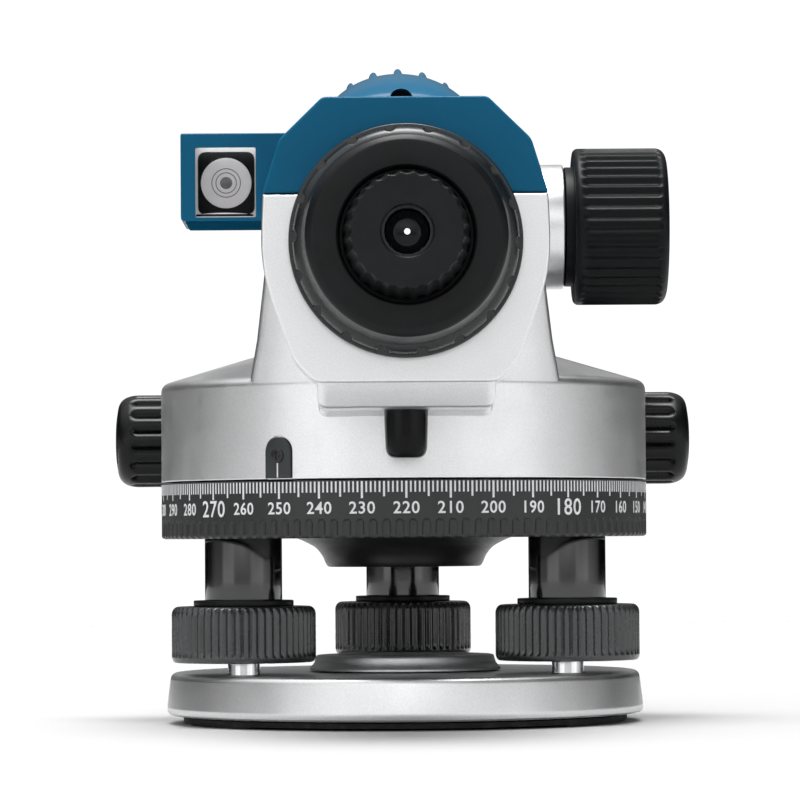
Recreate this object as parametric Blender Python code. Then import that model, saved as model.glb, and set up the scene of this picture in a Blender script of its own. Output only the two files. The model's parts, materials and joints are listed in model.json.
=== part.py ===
"""Automatic level (surveying instrument), built piece by piece.

Frame: +Z up, the vertical axis of the instrument is the line x = y = 0, the eyepiece points along -Y
and the objective along +Y.  The underside of the base pad lies on z = 0.
All sizes below are in millimetres; MM turns them into Blender's metres.
"""
import math

import bpy
import bmesh
from mathutils import Matrix, Vector

MM = 0.001
GAP = 0.3                      # clearance between neighbouring pieces

# ---- base and tribrach -------------------------------------------------------------------------
PAD_R, PAD_TOP, PAD_FOOT_LIFT = 48.6, 1.6, 0.4
BASE_TOP_R, BASE_FOOT_R, BASE_BOTTOM, BASE_TOP = 51.3, 52.3, 1.9, 11.1
BUSH_FLANGE_R, BUSH_TOP, BUSH_STEM_R, TRIPOD_THREAD_R = 21.0, 14.7, 12.0, 7.94
SCREW_CIRCLE_R = 40.2          # circle on which the three footscrews stand
BALL_R, BALL_Z, SPINDLE_R = 4.0, 7.6, 3.45
KNOB_R, KNOB_BOTTOM, KNOB_TOP = 15.5, 13.8, 25.8
COLLAR_R, COLLAR_TOP = 10.75, 27.1
SLEEVE_R, SLEEVE_BOTTOM = 8.3, 22.0
HUB_BOTTOM, HUB_R, PLATE_BOTTOM, PLATE_TOP, PLATE_R = 34.0, 17.2, 40.9, 44.6, 49.6
NECK_R, NECK_TOP, AXIS_BUSH_R = 13.5, 48.0, 9.0

# ---- horizontal circle ---------------------------------------------------------------------------
DIAL_R, DIAL_BOTTOM, DIAL_TOP = 53.2, 40.3, 52.4

# ---- drum, telescope housing and cover -----------------------------------------------------------
DRUM_R, DRUM_BOTTOM, DRUM_EDGE, DRUM_CONE_TOP = 53.2, 52.7, 72.8, 79.8
AXIS_Z = 100.4                 # height of the line of sight
REAR_Y, FRONT_Y = -75.0, 62.0  # ends of the housing
SPLIT_Z = 110.3                # seam between the lower housing and the cover
COVER_TOP, CROWN = 130.0, 141.9
EYEPIECE_END, OBJECTIVE_END = -107.5, 107.5
SPINDLE_AXIS_R = 6.0

# ---- controls -------------------------------------------------------------------------------------
DRIVE_Y, DRIVE_Z, DRIVE_R, DRIVE_END = 22.0, 62.4, 10.6, 64.3
WHEEL_R, WORM_R = 17.5, 4.2
FOCUS_Y, FOCUS_Z, FOCUS_R, FOCUS_END = 4.0, 108.8, 17.3, 58.3
PINION_R = 2.5
BUTTON_Y, BUTTON_R, BUTTON_BOTTOM = -59.0, 4.55, 56.7
INDEX_ANGLE = math.radians(30)  # index lies this far to the left of the eyepiece side
BUBBLE_X, BUBBLE_Y = -37.45, -36.4
BUBBLE_FLOOR, BUBBLE_BOX_BOTTOM, BUBBLE_BOX_TOP = 107.8, 107.0, 125.0

MATERIALS = {
    "silver": ((0.62, 0.63, 0.64), 0.38, 0.7),
    "polished": ((0.72, 0.73, 0.74), 0.2, 1.0),
    "blue": ((0.02, 0.2, 0.42), 0.42, 0.0),
    "black": ((0.012, 0.012, 0.014), 0.35, 0.0),
    "dark_grey": ((0.05, 0.055, 0.055), 0.45, 0.2),
    "rubber": ((0.015, 0.015, 0.015), 0.8, 0.0),
    "steel": ((0.55, 0.56, 0.58), 0.25, 1.0),
    "brass": ((0.6, 0.42, 0.16), 0.35, 1.0),
    "glass": ((0.75, 0.85, 0.85), 0.05, 0.0),
    "mirror": ((0.85, 0.87, 0.88), 0.05, 1.0),
}


# ---- helpers --------------------------------------------------------------------------------------
def clear_scene():
    for item in list(bpy.data.objects):
        bpy.data.objects.remove(item, do_unlink=True)


def make_material(node, kind):
    colour, roughness, metallic = MATERIALS[kind]
    material = bpy.data.materials.new(node + "_material")
    material.use_nodes = True
    shader = material.node_tree.nodes["Principled BSDF"]
    shader.inputs["Base Color"].default_value = (*colour, 1.0)
    shader.inputs["Roughness"].default_value = roughness
    shader.inputs["Metallic"].default_value = metallic
    return material


def place(name, mesh_data, kind, origin=(0, 0, 0), parent=None):
    """Turn a bmesh given in millimetres around origin into a named object."""
    bmesh.ops.recalc_face_normals(mesh_data, faces=mesh_data.faces)
    bmesh.ops.scale(mesh_data, vec=(MM, MM, MM), verts=mesh_data.verts)
    mesh = bpy.data.meshes.new(name)
    mesh_data.to_mesh(mesh)
    mesh_data.free()
    mesh.shade_smooth()
    mesh.set_sharp_from_angle(angle=math.radians(35))
    piece = bpy.data.objects.new(name, mesh)
    piece.location = Vector(origin) * MM
    bpy.context.scene.collection.objects.link(piece)
    if kind:
        mesh.materials.append(make_material(name, kind))
    if parent:
        piece.parent = parent
        piece.matrix_parent_inverse = Matrix.Translation(-parent.location)
    return piece


def joint_empty(name, origin):
    """An empty that marks a joint's axis and carries the pieces that move on it."""
    empty = bpy.data.objects.new(name, None)
    empty.location = Vector(origin) * MM
    empty.empty_display_size = 0.01
    bpy.context.scene.collection.objects.link(empty)
    return empty


def axis_point(axis, radius, angle, height):
    across, up = radius * math.cos(angle), radius * math.sin(angle)
    if axis == "X":
        return (height, across, up)
    if axis == "Y":
        return (across, height, up)
    return (across, up, height)


def turned_mesh(profile, steps, axis="Z", ripple=None, phase=0.0):
    """Spin a closed (radius, height) profile; ripple(angle, radius, height) may change the radius
    or the height of a point, and phase turns the first point by a part of a step."""
    result = bmesh.new()
    rings = []
    for radius, height in profile:
        if radius == 0:
            rings.append([result.verts.new(axis_point(axis, 0, 0, height))])
            continue
        ring = []
        for step in range(steps):
            angle = 2 * math.pi * (step + phase) / steps
            point = ripple(angle, radius, height) if ripple else (radius, height)
            ring.append(result.verts.new(axis_point(axis, point[0], angle, point[1])))
        rings.append(ring)
    for first, second in zip(rings, rings[1:] + rings[:1]):
        if len(first) == 1 and len(second) == 1:
            continue
        for step in range(steps):
            after = (step + 1) % steps
            corners = [first[step % len(first)], first[after % len(first)],
                       second[after % len(second)], second[step % len(second)]]
            result.faces.new(list(dict.fromkeys(corners)))
    return result


def turned(name, profile, steps, kind, axis="Z", origin=(0, 0, 0), ripple=None, parent=None):
    return place(name, turned_mesh(profile, steps, axis, ripple), kind, origin, parent)


def disc(name, radius, low, high, steps, kind, axis="Z", origin=(0, 0, 0), parent=None):
    profile = [(0, low), (radius, low), (radius, high), (0, high)]
    return turned(name, profile, steps, kind, axis, origin, None, parent)


def ring(name, inner, outer, low, high, steps, kind, axis="Z", origin=(0, 0, 0), parent=None):
    profile = [(inner, low), (outer, low), (outer, high), (inner, high)]
    return turned(name, profile, steps, kind, axis, origin, None, parent)


def loft(name, sections, kind, origin=(0, 0, 0), parent=None):
    """Join sections, each a list of the same number of (x, y, z) points, and cap both ends."""
    result = bmesh.new()
    rings = [[result.verts.new(point) for point in section] for section in sections]
    for first, second in zip(rings, rings[1:]):
        for index in range(len(first)):
            after = (index + 1) % len(first)
            result.faces.new((first[index], first[after], second[after], second[index]))
    result.faces.new(rings[0])
    result.faces.new(rings[-1])
    return place(name, result, kind, origin, parent)


def along_y(outline, y):
    return [(x, y, z) for x, z in outline]


def flat_at(outline, z):
    return [(x, y, z) for x, y in outline]


def box(name, low, high, kind, origin=(0, 0, 0), parent=None):
    outline = [(low[0], low[1]), (high[0], low[1]), (high[0], high[1]), (low[0], high[1])]
    return loft(name, [flat_at(outline, low[2]), flat_at(outline, high[2])], kind, origin, parent)


def combine(target, other, operation):
    """Join another shape to the target, or cut it away; the other shape is only a tool."""
    other.hide_render = True
    other.display_type = "WIRE"
    modifier = target.modifiers.new(operation.title() + "_" + other.name, "BOOLEAN")
    modifier.operation = operation
    modifier.solver = "EXACT"
    modifier.object = other


def cut(target, other):
    combine(target, other, "DIFFERENCE")


def join(target, other):
    combine(target, other, "UNION")


def drill(target, name, radius, low, high, axis="Z", origin=(0, 0, 0), steps=16):
    """Cut a round hole; its corners are turned a little so that none falls on the target's edges."""
    profile = [(0, low), (radius, low), (radius, high), (0, high)]
    tool = turned_mesh(profile, steps, axis, phase=0.3)
    cut(target, place("cut_" + name, tool, None, origin))


def mirrored(half):
    """Full outline from its right half, given from the bottom centre line upwards."""
    return half + [(-x, z) for x, z in reversed(half)]


def screw_places():
    """Footscrew names with their positions: two at the eyepiece side, one at the objective side."""
    places = []
    for name, degrees in (("left", 210), ("right", 330), ("rear", 90)):
        angle = math.radians(degrees)
        places.append((name, SCREW_CIRCLE_R * math.cos(angle), SCREW_CIRCLE_R * math.sin(angle)))
    return places


# ---- base -----------------------------------------------------------------------------------------
def make_base():
    recess = BASE_BOTTOM + 1.7
    profile = [(12.3, BASE_BOTTOM), (12.3, BASE_TOP), (50.0, BASE_TOP), (50.9, 10.7),
               (BASE_TOP_R, 9.9), (BASE_FOOT_R, 3.0), (51.4, BASE_BOTTOM), (49.0, BASE_BOTTOM),
               (49.0, recess), (16.0, recess), (16.0, BASE_BOTTOM)]
    plate = turned("base_plate", profile, 36, "silver")
    for name, x, y in screw_places():
        drill(plate, "socket_" + name, BALL_R + 0.4, 2.5, 12, origin=(x, y, 0))

    def pad_feet(angle, radius, height):
        near = [math.cos(angle - math.atan2(y, x)) > 0.97 for _, x, y in screw_places()]
        return (radius, height if height > 0 or any(near) else PAD_FOOT_LIFT)

    pad = [(14.0, 0), (PAD_R, 0), (PAD_R, PAD_TOP), (14.0, PAD_TOP)]
    turned("base_pad", pad, 36, "rubber", ripple=pad_feet)

    flange = BASE_TOP + GAP
    bush = [(TRIPOD_THREAD_R, GAP), (BUSH_STEM_R, GAP), (BUSH_STEM_R, flange),
            (BUSH_FLANGE_R, flange), (BUSH_FLANGE_R, 11.9), (19.9, 13.2), (19.2, BUSH_TOP),
            (9.0, BUSH_TOP), (TRIPOD_THREAD_R, 13.6)]
    turned("tripod_bush", bush, 24, "polished")
    make_spring_plate(plate)


def make_spring_plate(plate):
    """Three-armed leaf under the base plate that carries the ball feet, with its screws."""
    low, high, screw_r = 2.2, 3.3, 1.6

    def arms(angle, radius, height):
        reach = 0.5 + 0.5 * math.cos(3 * (angle - math.pi / 2))
        return (radius if radius < 20 else 32 + 14 * reach, height)

    leaf = [(17.0, low), (46.0, low), (46.0, high), (17.0, high)]
    spring = turned("spring_plate", leaf, 24, "steel", ripple=arms)
    for index in range(3):
        angle = math.radians(30 + 120 * index)
        spot = (26 * math.cos(angle), 26 * math.sin(angle), 0)
        drill(spring, f"spring_{index}", screw_r + GAP, low - 1, high + 1, origin=spot, steps=12)
        drill(plate, f"thread_{index}", screw_r + GAP, 2.5, 7.5, origin=spot, steps=12)
        disc(f"spring_screw_{index + 1}", screw_r, low, 7.0, 10, "steel", origin=spot)


# ---- footscrews -----------------------------------------------------------------------------------
def scallops(count, depth, least_radius):
    """Radius ripple that gives a knob its grip ribs."""
    def ripple(angle, radius, height):
        if radius < least_radius:
            return (radius, height)
        return (radius - depth * (0.5 - 0.5 * math.cos(count * angle)), height)
    return ripple


def ball_points():
    """Profile of the ball foot, from its lowest point to where the spindle starts."""
    points = []
    for degrees in (0, 30, 60, 90, 118):
        angle = math.radians(degrees)
        points.append((BALL_R * math.sin(angle), BALL_Z - BALL_R * math.cos(angle)))
    return points


def make_footscrews():
    knob = [(SPINDLE_R + GAP, KNOB_BOTTOM), (14.6, KNOB_BOTTOM), (KNOB_R, 14.6), (KNOB_R, 24.9),
            (14.7, KNOB_TOP), (8.9, KNOB_TOP), (8.9, 18.6), (SPINDLE_R + GAP, 18.6)]
    for name, x, y in screw_places():
        carrier = joint_empty("footscrew_axis_" + name, (x, y, BALL_Z))
        spindle = ball_points() + [(SPINDLE_R, BALL_Z + 2.6), (SPINDLE_R, 43.0), (0, 43.0)]
        turned("footscrew_spindle_" + name, spindle, 12, "steel", origin=(x, y, 0), parent=carrier)
        turned("footscrew_knob_" + name, knob, 24, "black", origin=(x, y, 0), parent=carrier)
        ring("footscrew_collar_" + name, 8.9, COLLAR_R, KNOB_TOP + GAP, COLLAR_TOP, 16, "black",
             origin=(x, y, 0), parent=carrier)


# ---- tribrach and horizontal circle ----------------------------------------------------------------
def make_tribrach(tilt):
    bore, floor = AXIS_BUSH_R + GAP, HUB_BOTTOM + 2
    profile = [(0, HUB_BOTTOM), (16.6, HUB_BOTTOM), (HUB_R, 34.5), (18.2, 37.0), (20.2, 39.0),
               (23.6, 40.4), (25.0, PLATE_BOTTOM), (PLATE_R, PLATE_BOTTOM), (PLATE_R, PLATE_TOP),
               (NECK_R, PLATE_TOP), (NECK_R, NECK_TOP), (bore, NECK_TOP), (bore, floor), (0, floor)]
    plate = turned("tribrach_plate", profile, 28, "black", parent=tilt)
    for name, x, y in screw_places():
        drill(plate, "plate_" + name, 4.2, 38, 46, origin=(x, y, 0), steps=12)
        ring("footscrew_sleeve_" + name, 4.2, SLEEVE_R, SLEEVE_BOTTOM, PLATE_BOTTOM - GAP, 16,
             "black", origin=(x, y, 0), parent=tilt)
    ring("axis_bush", SPINDLE_AXIS_R + GAP, AXIS_BUSH_R, floor + GAP, NECK_TOP + 0.5, 20, "brass",
         parent=tilt)


def make_circle(tilt):
    """Graduated ring: a skirt over the tribrach, a web and a hub that runs on the tribrach neck."""
    inner, web_low, web_high, hub = 50.4, 49.2, 51.4, 14.0
    profile = [(hub, 45.2), (17.0, 45.2), (17.0, web_low), (inner, web_low), (inner, DIAL_BOTTOM),
               (52.4, DIAL_BOTTOM), (DIAL_R, 40.9), (DIAL_R, DIAL_TOP), (50.0, DIAL_TOP),
               (50.0, web_high), (hub, web_high)]
    carrier = joint_empty("circle_axis", (0, 0, 0))
    carrier.parent = tilt
    carrier.matrix_parent_inverse = Matrix.Translation(-tilt.location)
    turned("horizontal_circle", profile, 44, "black", parent=carrier)


# ---- housing --------------------------------------------------------------------------------------
def silver_outline(bottom, inset=0.0):
    """Cross-section of the lower telescope housing, open towards the cover at the seam."""
    half = [(18.4, bottom), (20.9, bottom + 2.4), (23.0, bottom + 4.7), (25.2, 82.5), (27.7, 89.5),
            (29.0, 95.0), (29.4, 99.5), (29.3, 105.0), (29.05, SPLIT_Z - 0.15)]
    return mirrored([(x - inset, z + inset * (z < 80)) for x, z in half])


def clipped_drum(width):
    """Outline of a circle just inside the drum's, cut off at x = -width and x = +width."""
    points, radius = [], DRUM_R - 0.3
    for side in (-1, 1):
        edge = math.asin(width / radius)
        for index in range(9):
            angle = edge * (index / 4 - 1)
            points.append((-side * radius * math.sin(angle), side * radius * math.cos(angle)))
    return points


def housing_body():
    """Drum, skirt and telescope shell, before they are hollowed out."""
    drum = [(0, DRUM_BOTTOM), (DRUM_R, DRUM_BOTTOM), (DRUM_R, DRUM_EDGE), (52.9, 73.6), (52.2, 74.3),
            (33.8, DRUM_CONE_TOP), (0, DRUM_CONE_TOP)]
    housing = turned("main_housing", drum, 56, "silver")
    stations = [(REAR_Y, 71.8, 0.5), (REAR_Y + 0.5, 71.8, 0), (-64, 67.4, 0), (-50, 66.6, 0),
                (46, 66.6, 0), (54, 69.0, 0), (FRONT_Y - 0.5, 73.0, 0), (FRONT_Y, 73.0, 0.5)]
    shell = [along_y(silver_outline(bottom, inset), y) for y, bottom, inset in stations]
    join(housing, loft("tool_telescope_shell", shell, None))
    skirt = [flat_at(clipped_drum(33.0), 71.5), flat_at(clipped_drum(31.0), 82.0),
             flat_at(clipped_drum(29.2), 97.0)]
    join(housing, loft("tool_skirt", skirt, None))
    for name, low, high in (("left", -52.0, -43.0), ("right", 43.0, 52.0)):
        join(housing, disc("tool_drive_boss_" + name, 7.0, low, high, 20, None, "X",
                           (0, DRIVE_Y, DRIVE_Z)))
    return housing


def make_housing():
    housing = housing_body()
    make_index(housing)
    drum_floor = 71.8
    cut(housing, disc("cut_drum", 49.5, DRUM_BOTTOM - 5, drum_floor, 48, None))
    cut(housing, box("cut_bay", (-21.5, -66, 82), (21.5, 58, 115), None))
    drill(housing, "eyepiece", 6.3, -80, -60, "Y", (0, 0, AXIS_Z))
    drill(housing, "objective", 19.0, 50, 70, "Y", (0, 0, AXIS_Z), 32)
    drill(housing, "focus_boss", 14.1, 24.3, 45, "X", (0, FOCUS_Y, FOCUS_Z), 32)
    drill(housing, "focus_shaft", 3.3, 15, 30, "X", (0, FOCUS_Y, FOCUS_Z))
    drill(housing, "drive", 3.3, -60, 60, "X", (0, DRIVE_Y, DRIVE_Z))
    bore = [(0, 50), (BUTTON_R + GAP, 50), (BUTTON_R + GAP, 80), (2.4, 80), (2.4, 90), (0, 90)]
    cut(housing, turned("cut_button", bore, 16, None, origin=(0, BUTTON_Y, 0)))
    spindle = [(0, 37.5), (SPINDLE_AXIS_R, 37.5), (SPINDLE_AXIS_R, 69.0), (14.0, 69.0),
               (14.0, drum_floor - GAP), (0, drum_floor - GAP)]
    turned("vertical_spindle", spindle, 20, "steel")


def make_index(housing):
    """Dark index tab with its screw, let into the drum wall above the graduation."""
    turn = Matrix.Rotation(-INDEX_ANGLE, 4, "Z")
    pocket = box("cut_index", (-3.4, -60, 50), (3.4, -52.4, 62), None)
    pocket.matrix_world = turn
    cut(housing, pocket)
    low = DRUM_BOTTOM + 0.2
    outline = [(-3.05, low), (3.05, low), (3.05, 60.0), (2.0, 61.5), (-2.0, 61.5), (-3.05, 60.0)]
    tab = loft("index_tab", [along_y(outline, -53.5), along_y(outline, -52.7)], "dark_grey")
    tab.matrix_world = turn
    for target, low_y, high_y in ((tab, -56, -50), (housing, -54, -48)):
        hole = disc("cut_index_screw_" + target.name, 1.2, low_y, high_y, 10, None, "Y", (0, 0, 57.6))
        hole.matrix_world = turn @ Matrix.Translation((0, 0, 57.6 * MM))
        cut(target, hole)
    screw = [(0, -50.2), (0.9, -50.2), (0.9, -53.8), (1.5, -53.8), (1.4, -54.2), (0, -54.2)]
    head = turned("index_screw", screw, 12, "black", "Y")
    head.matrix_world = turn @ Matrix.Translation((0, 0, 57.6 * MM))


def cover_outline(shrink=0.0, bottom=SPLIT_Z + 0.15):
    half = [(29.05 - shrink, bottom), (25.7 - shrink, 121.3), (16.8 - shrink * 0.6, COVER_TOP - shrink)]
    return mirrored(half)


def dome_sections():
    """Sections of the sight dome: flattened arcs with low grip ribs that run fore and aft."""
    sections = []
    half_width, sink, rib_height, rib_pitch = 14.8, 124.0, 1.4, 14.0
    for y, share in ((-46, 0.0), (-41, 0.34), (-33, 0.62), (-22, 0.84), (-8, 0.97), (4, 1.0),
                     (16, 0.97), (30, 0.84), (41, 0.62), (49, 0.34), (54, 0.0)):
        top = COVER_TOP - 0.8 + (CROWN - COVER_TOP + 0.8) * share
        points = [(half_width, sink)]
        for index in range(41):
            across = 1 - index / 20
            degrees = math.degrees(math.asin(across * 0.71))
            near = abs((degrees + rib_pitch * 2.5) % rib_pitch - rib_pitch / 2)
            rib = rib_height * (near < 2.3) * (abs(degrees) < 37) * (y > -10) * min(share * 2, 1.0)
            arch = math.sqrt(1 - (across * 0.92) ** 2)
            low = COVER_TOP - 1.2
            points.append((half_width * across, low + (top - low) * arch + rib))
        points.append((-half_width, sink))
        sections.append(along_y(points, y))
    return sections


def make_cover():
    stations = ((REAR_Y, 0.5), (REAR_Y + 0.5, 0), (FRONT_Y - 0.5, 0), (FRONT_Y, 0.5))
    cover = loft("top_cover", [along_y(cover_outline(inset), y) for y, inset in stations], "blue")
    join(cover, loft("tool_dome", dome_sections(), None))
    inner = cover_outline(2.6, 100.0)
    cut(cover, loft("cut_cover", [along_y(inner, -72), along_y(inner, 59)], None))
    drill(cover, "sight", 2.35, -60, 70, "Y", (0, 0, 132.7))
    drill(cover, "cover_objective", 19.0, 50, 70, "Y", (0, 0, AXIS_Z), 32)
    drill(cover, "cover_boss", 14.1, 24.3, 45, "X", (0, FOCUS_Y, FOCUS_Z), 32)
    drill(cover, "cover_shaft", 3.3, 15, 30, "X", (0, FOCUS_Y, FOCUS_Z))


# ---- optics -----------------------------------------------------------------------------------------
def make_objective():
    origin = (0, 0, AXIS_Z)
    barrel = [(17.0, 56.5), (18.6, 56.5), (18.6, FRONT_Y + GAP), (26.5, FRONT_Y + GAP), (26.5, 66.0),
              (24.0, 68.0), (22.8, 71.0), (22.8, 94.0), (24.2, 96.0), (24.2, 106.8),
              (23.6, OBJECTIVE_END), (21.4, OBJECTIVE_END), (21.4, 96.0), (17.0, 94.0)]
    turned("objective_barrel", barrel, 28, "silver", "Y", origin)
    lens = [(0, 97.0), (12.0, 97.5), (20.8, 98.6), (20.8, 101.0), (12.0, 102.6), (0, 103.2)]
    turned("objective_lens", lens, 24, "glass", "Y", origin)
    retainer = [(19.4, 102.6), (21.1, 102.6), (21.1, 105.4), (20.4, 105.4)]
    turned("objective_ring", retainer, 24, "black", "Y", origin)


def make_focusing():
    ring("telescope_tube", 12.6, 14.6, -4, 44, 24, "black", "Y", (0, 0, AXIS_Z))
    tube = bpy.data.objects["telescope_tube"]
    cut(tube, box("cut_rack_slot", (8, -1, 101.2), (20, 40, 106.6), None))

    slide = joint_empty("focus_slide_axis", (0, 16, AXIS_Z))
    cell_origin = (0, 16, AXIS_Z)
    ring("focusing_cell", 9.3, 12.3, -6, 6, 24, "black", "Y", cell_origin, slide)
    cell = bpy.data.objects["focusing_cell"]
    join(cell, box("tool_rack_arm", (11.0, -4, 1.4), (16.0, 4, 4.6), None, cell_origin))
    rack_top = FOCUS_Z - PINION_R - GAP - AXIS_Z
    join(cell, box("tool_rack", (15.0, -22, 1.6), (18.4, 3.6, rack_top), None, cell_origin))
    lens = [(0, -1.6), (9.0, -2.6), (9.0, 2.6), (0, 1.6)]
    turned("focusing_lens", lens, 20, "glass", "Y", cell_origin, parent=slide)

    origin = (0, FOCUS_Y, FOCUS_Z)
    turn = joint_empty("focus_axis", origin)
    ring("focus_boss", 3.3, 13.8, 24.6, 35.6, 28, "silver", "X", origin)
    shaft = [(0, 14.8), (PINION_R, 14.8), (PINION_R, 18.8), (3.0, 18.8), (3.0, 54.0), (0, 54.0)]
    turned("focus_shaft", shaft, 14, "steel", "X", origin, parent=turn)
    knob = [(3.3, 35.9), (13.2, 35.9), (13.2, 37.6), (16.6, 37.6), (FOCUS_R, 38.4), (FOCUS_R, 57.2),
            (16.4, FOCUS_END), (0, FOCUS_END), (0, 54.3), (3.3, 54.3)]
    turned("focus_knob", knob, 32, "black", "X", origin, parent=turn)


def make_eyepiece():
    origin = (0, 0, AXIS_Z)
    flange = [(6.3, -75.3), (22.6, -75.3), (23.8, -76.2), (23.8, -81.0), (23.0, -82.0), (6.3, -82.0)]
    turned("eyepiece_flange", flange, 36, "black", "Y", origin, scallops(18, 0.7, 23.5))
    cap = [(6.3, -82.3), (21.8, -82.3), (21.4, -88.0), (20.4, -93.8), (19.8, -94.7), (13.6, -94.7),
           (13.6, -91.0), (6.3, -91.0)]
    turned("eyepiece_cap", cap, 32, "black", "Y", origin)

    travel = joint_empty("eyepiece_slide_axis", origin)
    ring("eyepiece_tube", 4.6, 5.9, -104.6, -69.0, 18, "dark_grey", "Y", origin, travel)
    eye_lens = [(0, -103.4), (4.2, -102.8), (4.2, -100.6), (0, -100.0)]
    turned("eye_lens", eye_lens, 16, "glass", "Y", origin, parent=travel)
    turn = joint_empty("diopter_axis", origin)
    diopter = [(6.2, -92.6), (12.8, -92.6), (12.8, -96.0), (12.3, -104.8), (11.1, EYEPIECE_END),
               (7.0, EYEPIECE_END), (5.1, -104.9), (6.2, -104.9)]
    turned("diopter_ring", diopter, 24, "black", "Y", origin, parent=turn)

    ring("reticle_cell", 7.4, 9.5, -65.7, -58.5, 20, "brass", "Y", origin)
    disc("reticle", 7.1, -62.5, -61.3, 16, "glass", "Y", origin)


def make_compensator():
    frame_low, cheek, back, front = 82.3, 17.0, -52.0, -17.5
    frame = box("compensator_frame", (-cheek, back, frame_low), (cheek, front, 116.0), "dark_grey")
    cut(frame, box("cut_frame", (-14.2, back - 5, 85.2), (14.2, front + 5, 120), None))
    drill(frame, "pendulum_pivot", 1.6, -20, 20, "X", (0, -33, 113.0), 12)

    pivot = (0, -33, 113.0)
    swing = joint_empty("pendulum_axis", pivot)
    pendulum = box("pendulum", (-11, -8, -22.5), (11, 8, 2.5), "steel", pivot, swing)
    cut(pendulum, box("cut_pendulum", (-7.8, -12, -20), (7.8, 12, -4), None, pivot))
    join(pendulum, disc("tool_pivot_pin", 1.2, -16.5, 16.5, 10, None, "X", pivot))
    prism = [(-6.5, -7.4), (6.5, -7.4), (0, 7.0)]
    points = [[(-7.4, y, z - 12.2) for y, z in prism], [(7.4, y, z - 12.2) for y, z in prism]]
    loft("pendulum_prism", points, "glass", pivot, swing)
    for name, y, tip in (("rear_prism", -50.5, 1), ("front_prism", -19.0, -1)):
        slab = [(y, -7), (y, 7), (y + tip * 6.5, 0)]
        points = [[(x, a, AXIS_Z + b) for a, b in slab] for x in (-7, 7)]
        loft(name, points, "glass")
    disc("damping_magnet", 4.6, 85.5, 88.6, 16, "steel", origin=(0, -33, 0))


# ---- level bubble, button, horizontal drive ----------------------------------------------------------
def lean(x, points):
    """Outline in a plane of constant x."""
    return [(x, y, z) for y, z in points]


def make_bubble():
    """Window box beside the cover: a 45 degree mirror shows the bubble that lies in its floor."""
    side = [(-46.9, BUBBLE_BOX_BOTTOM), (-29.7, BUBBLE_BOX_BOTTOM), (-29.5, 110.6), (-26.15, 121.3),
            (-22.6, BUBBLE_BOX_TOP), (-46.9, BUBBLE_BOX_TOP)]
    housing = loft("bubble_housing", [along_y(side, -45), along_y(side, -20)], "blue")
    window_low, window_high = (-43.8, -50, BUBBLE_FLOOR), (-31.1, -40, 122.2)
    cut(housing, box("cut_window", window_low, window_high, None))
    room = [(-44.2, BUBBLE_FLOOR), (-25.5, BUBBLE_FLOOR), (-41.1, 123.4), (-44.2, 123.4)]
    cut(housing, loft("cut_mirror_room", [lean(-44.9, room), lean(-30.3, room)], None))
    slab = [(-43.0, 122.9), (-28.2, 108.1), (-26.2, 108.1), (-41.0, 122.9)]
    loft("bubble_mirror", [lean(-43.5, slab), lean(-31.4, slab)], "mirror")

    half_x, half_y, vial_r, bore_r = 6.05, 6.7, 5.15, 5.45
    hole_low = (BUBBLE_X - half_x - GAP, BUBBLE_Y - half_y - GAP, BUBBLE_BOX_BOTTOM - 1)
    hole_high = (BUBBLE_X + half_x + GAP, BUBBLE_Y + half_y + GAP, BUBBLE_FLOOR + 0.5)
    cut(housing, box("cut_floor", hole_low, hole_high, None))
    carrier = box("vial_carrier", (BUBBLE_X - half_x, BUBBLE_Y - half_y, BUBBLE_BOX_BOTTOM),
                  (BUBBLE_X + half_x, BUBBLE_Y + half_y, 108.6), "black")
    centre = (BUBBLE_X, BUBBLE_Y, 0)
    drill(carrier, "vial", bore_r, 107.6, 110, origin=centre, steps=24)
    disc("circular_vial", vial_r, 107.9, 109.0, 24, "glass", origin=centre)


def make_button():
    origin = (0, BUTTON_Y, 0)
    press = joint_empty("button_axis", origin)
    button = [(0, BUTTON_BOTTOM), (2.6, BUTTON_BOTTOM), (BUTTON_R, 58.4), (BUTTON_R, 73.5),
              (2.0, 73.5), (2.0, 84.0), (0, 84.0)]
    turned("lock_button", button, 18, "black", origin=origin, parent=press)
    ring("button_spring", 2.4, 4.3, 73.8, 79.7, 14, "steel", origin=origin, parent=press)


def make_drive(tilt):
    wheel_axis = joint_empty("worm_wheel_axis", (0, 0, 0))
    wheel_axis.parent = tilt
    wheel_axis.matrix_parent_inverse = Matrix.Translation(-tilt.location)
    wheel = [(6.6, 53.5), (10.0, 53.5), (10.0, 59.5), (WHEEL_R, 59.5), (WHEEL_R, 65.5), (6.6, 65.5)]
    turned("worm_wheel", wheel, 24, "brass", parent=wheel_axis)

    origin = (0, DRIVE_Y, DRIVE_Z)
    turn = joint_empty("drive_axis", origin)
    end = 61.0
    shaft = [(0, -end), (3.0, -end), (3.0, -9.0), (WORM_R, -8.0), (WORM_R, 8.0), (3.0, 9.0),
             (3.0, end), (0, end)]
    turned("drive_shaft", shaft, 16, "steel", "X", origin, parent=turn)
    for name, side in (("left", -1), ("right", 1)):
        knob = [(3.3, 52.3), (9.8, 52.3), (DRIVE_R, 53.0), (DRIVE_R, 61.4), (9.0, 63.6),
                (5.0, DRIVE_END), (0, DRIVE_END), (0, end + GAP), (3.3, end + GAP)]
        profile = [(radius, side * height) for radius, height in knob]
        turned("drive_knob_" + name, profile, 28, "black", "X", origin,
               scallops(14, 0.6, 10.2), turn)


def main():
    clear_scene()
    tilt = joint_empty("tribrach_tilt_axis", (0, -SCREW_CIRCLE_R / 2, BALL_Z))
    make_base()
    make_footscrews()
    make_tribrach(tilt)
    make_circle(tilt)
    make_housing()
    make_cover()
    make_objective()
    make_focusing()
    make_eyepiece()
    make_compensator()
    make_bubble()
    make_button()
    make_drive(tilt)


main()
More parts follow.
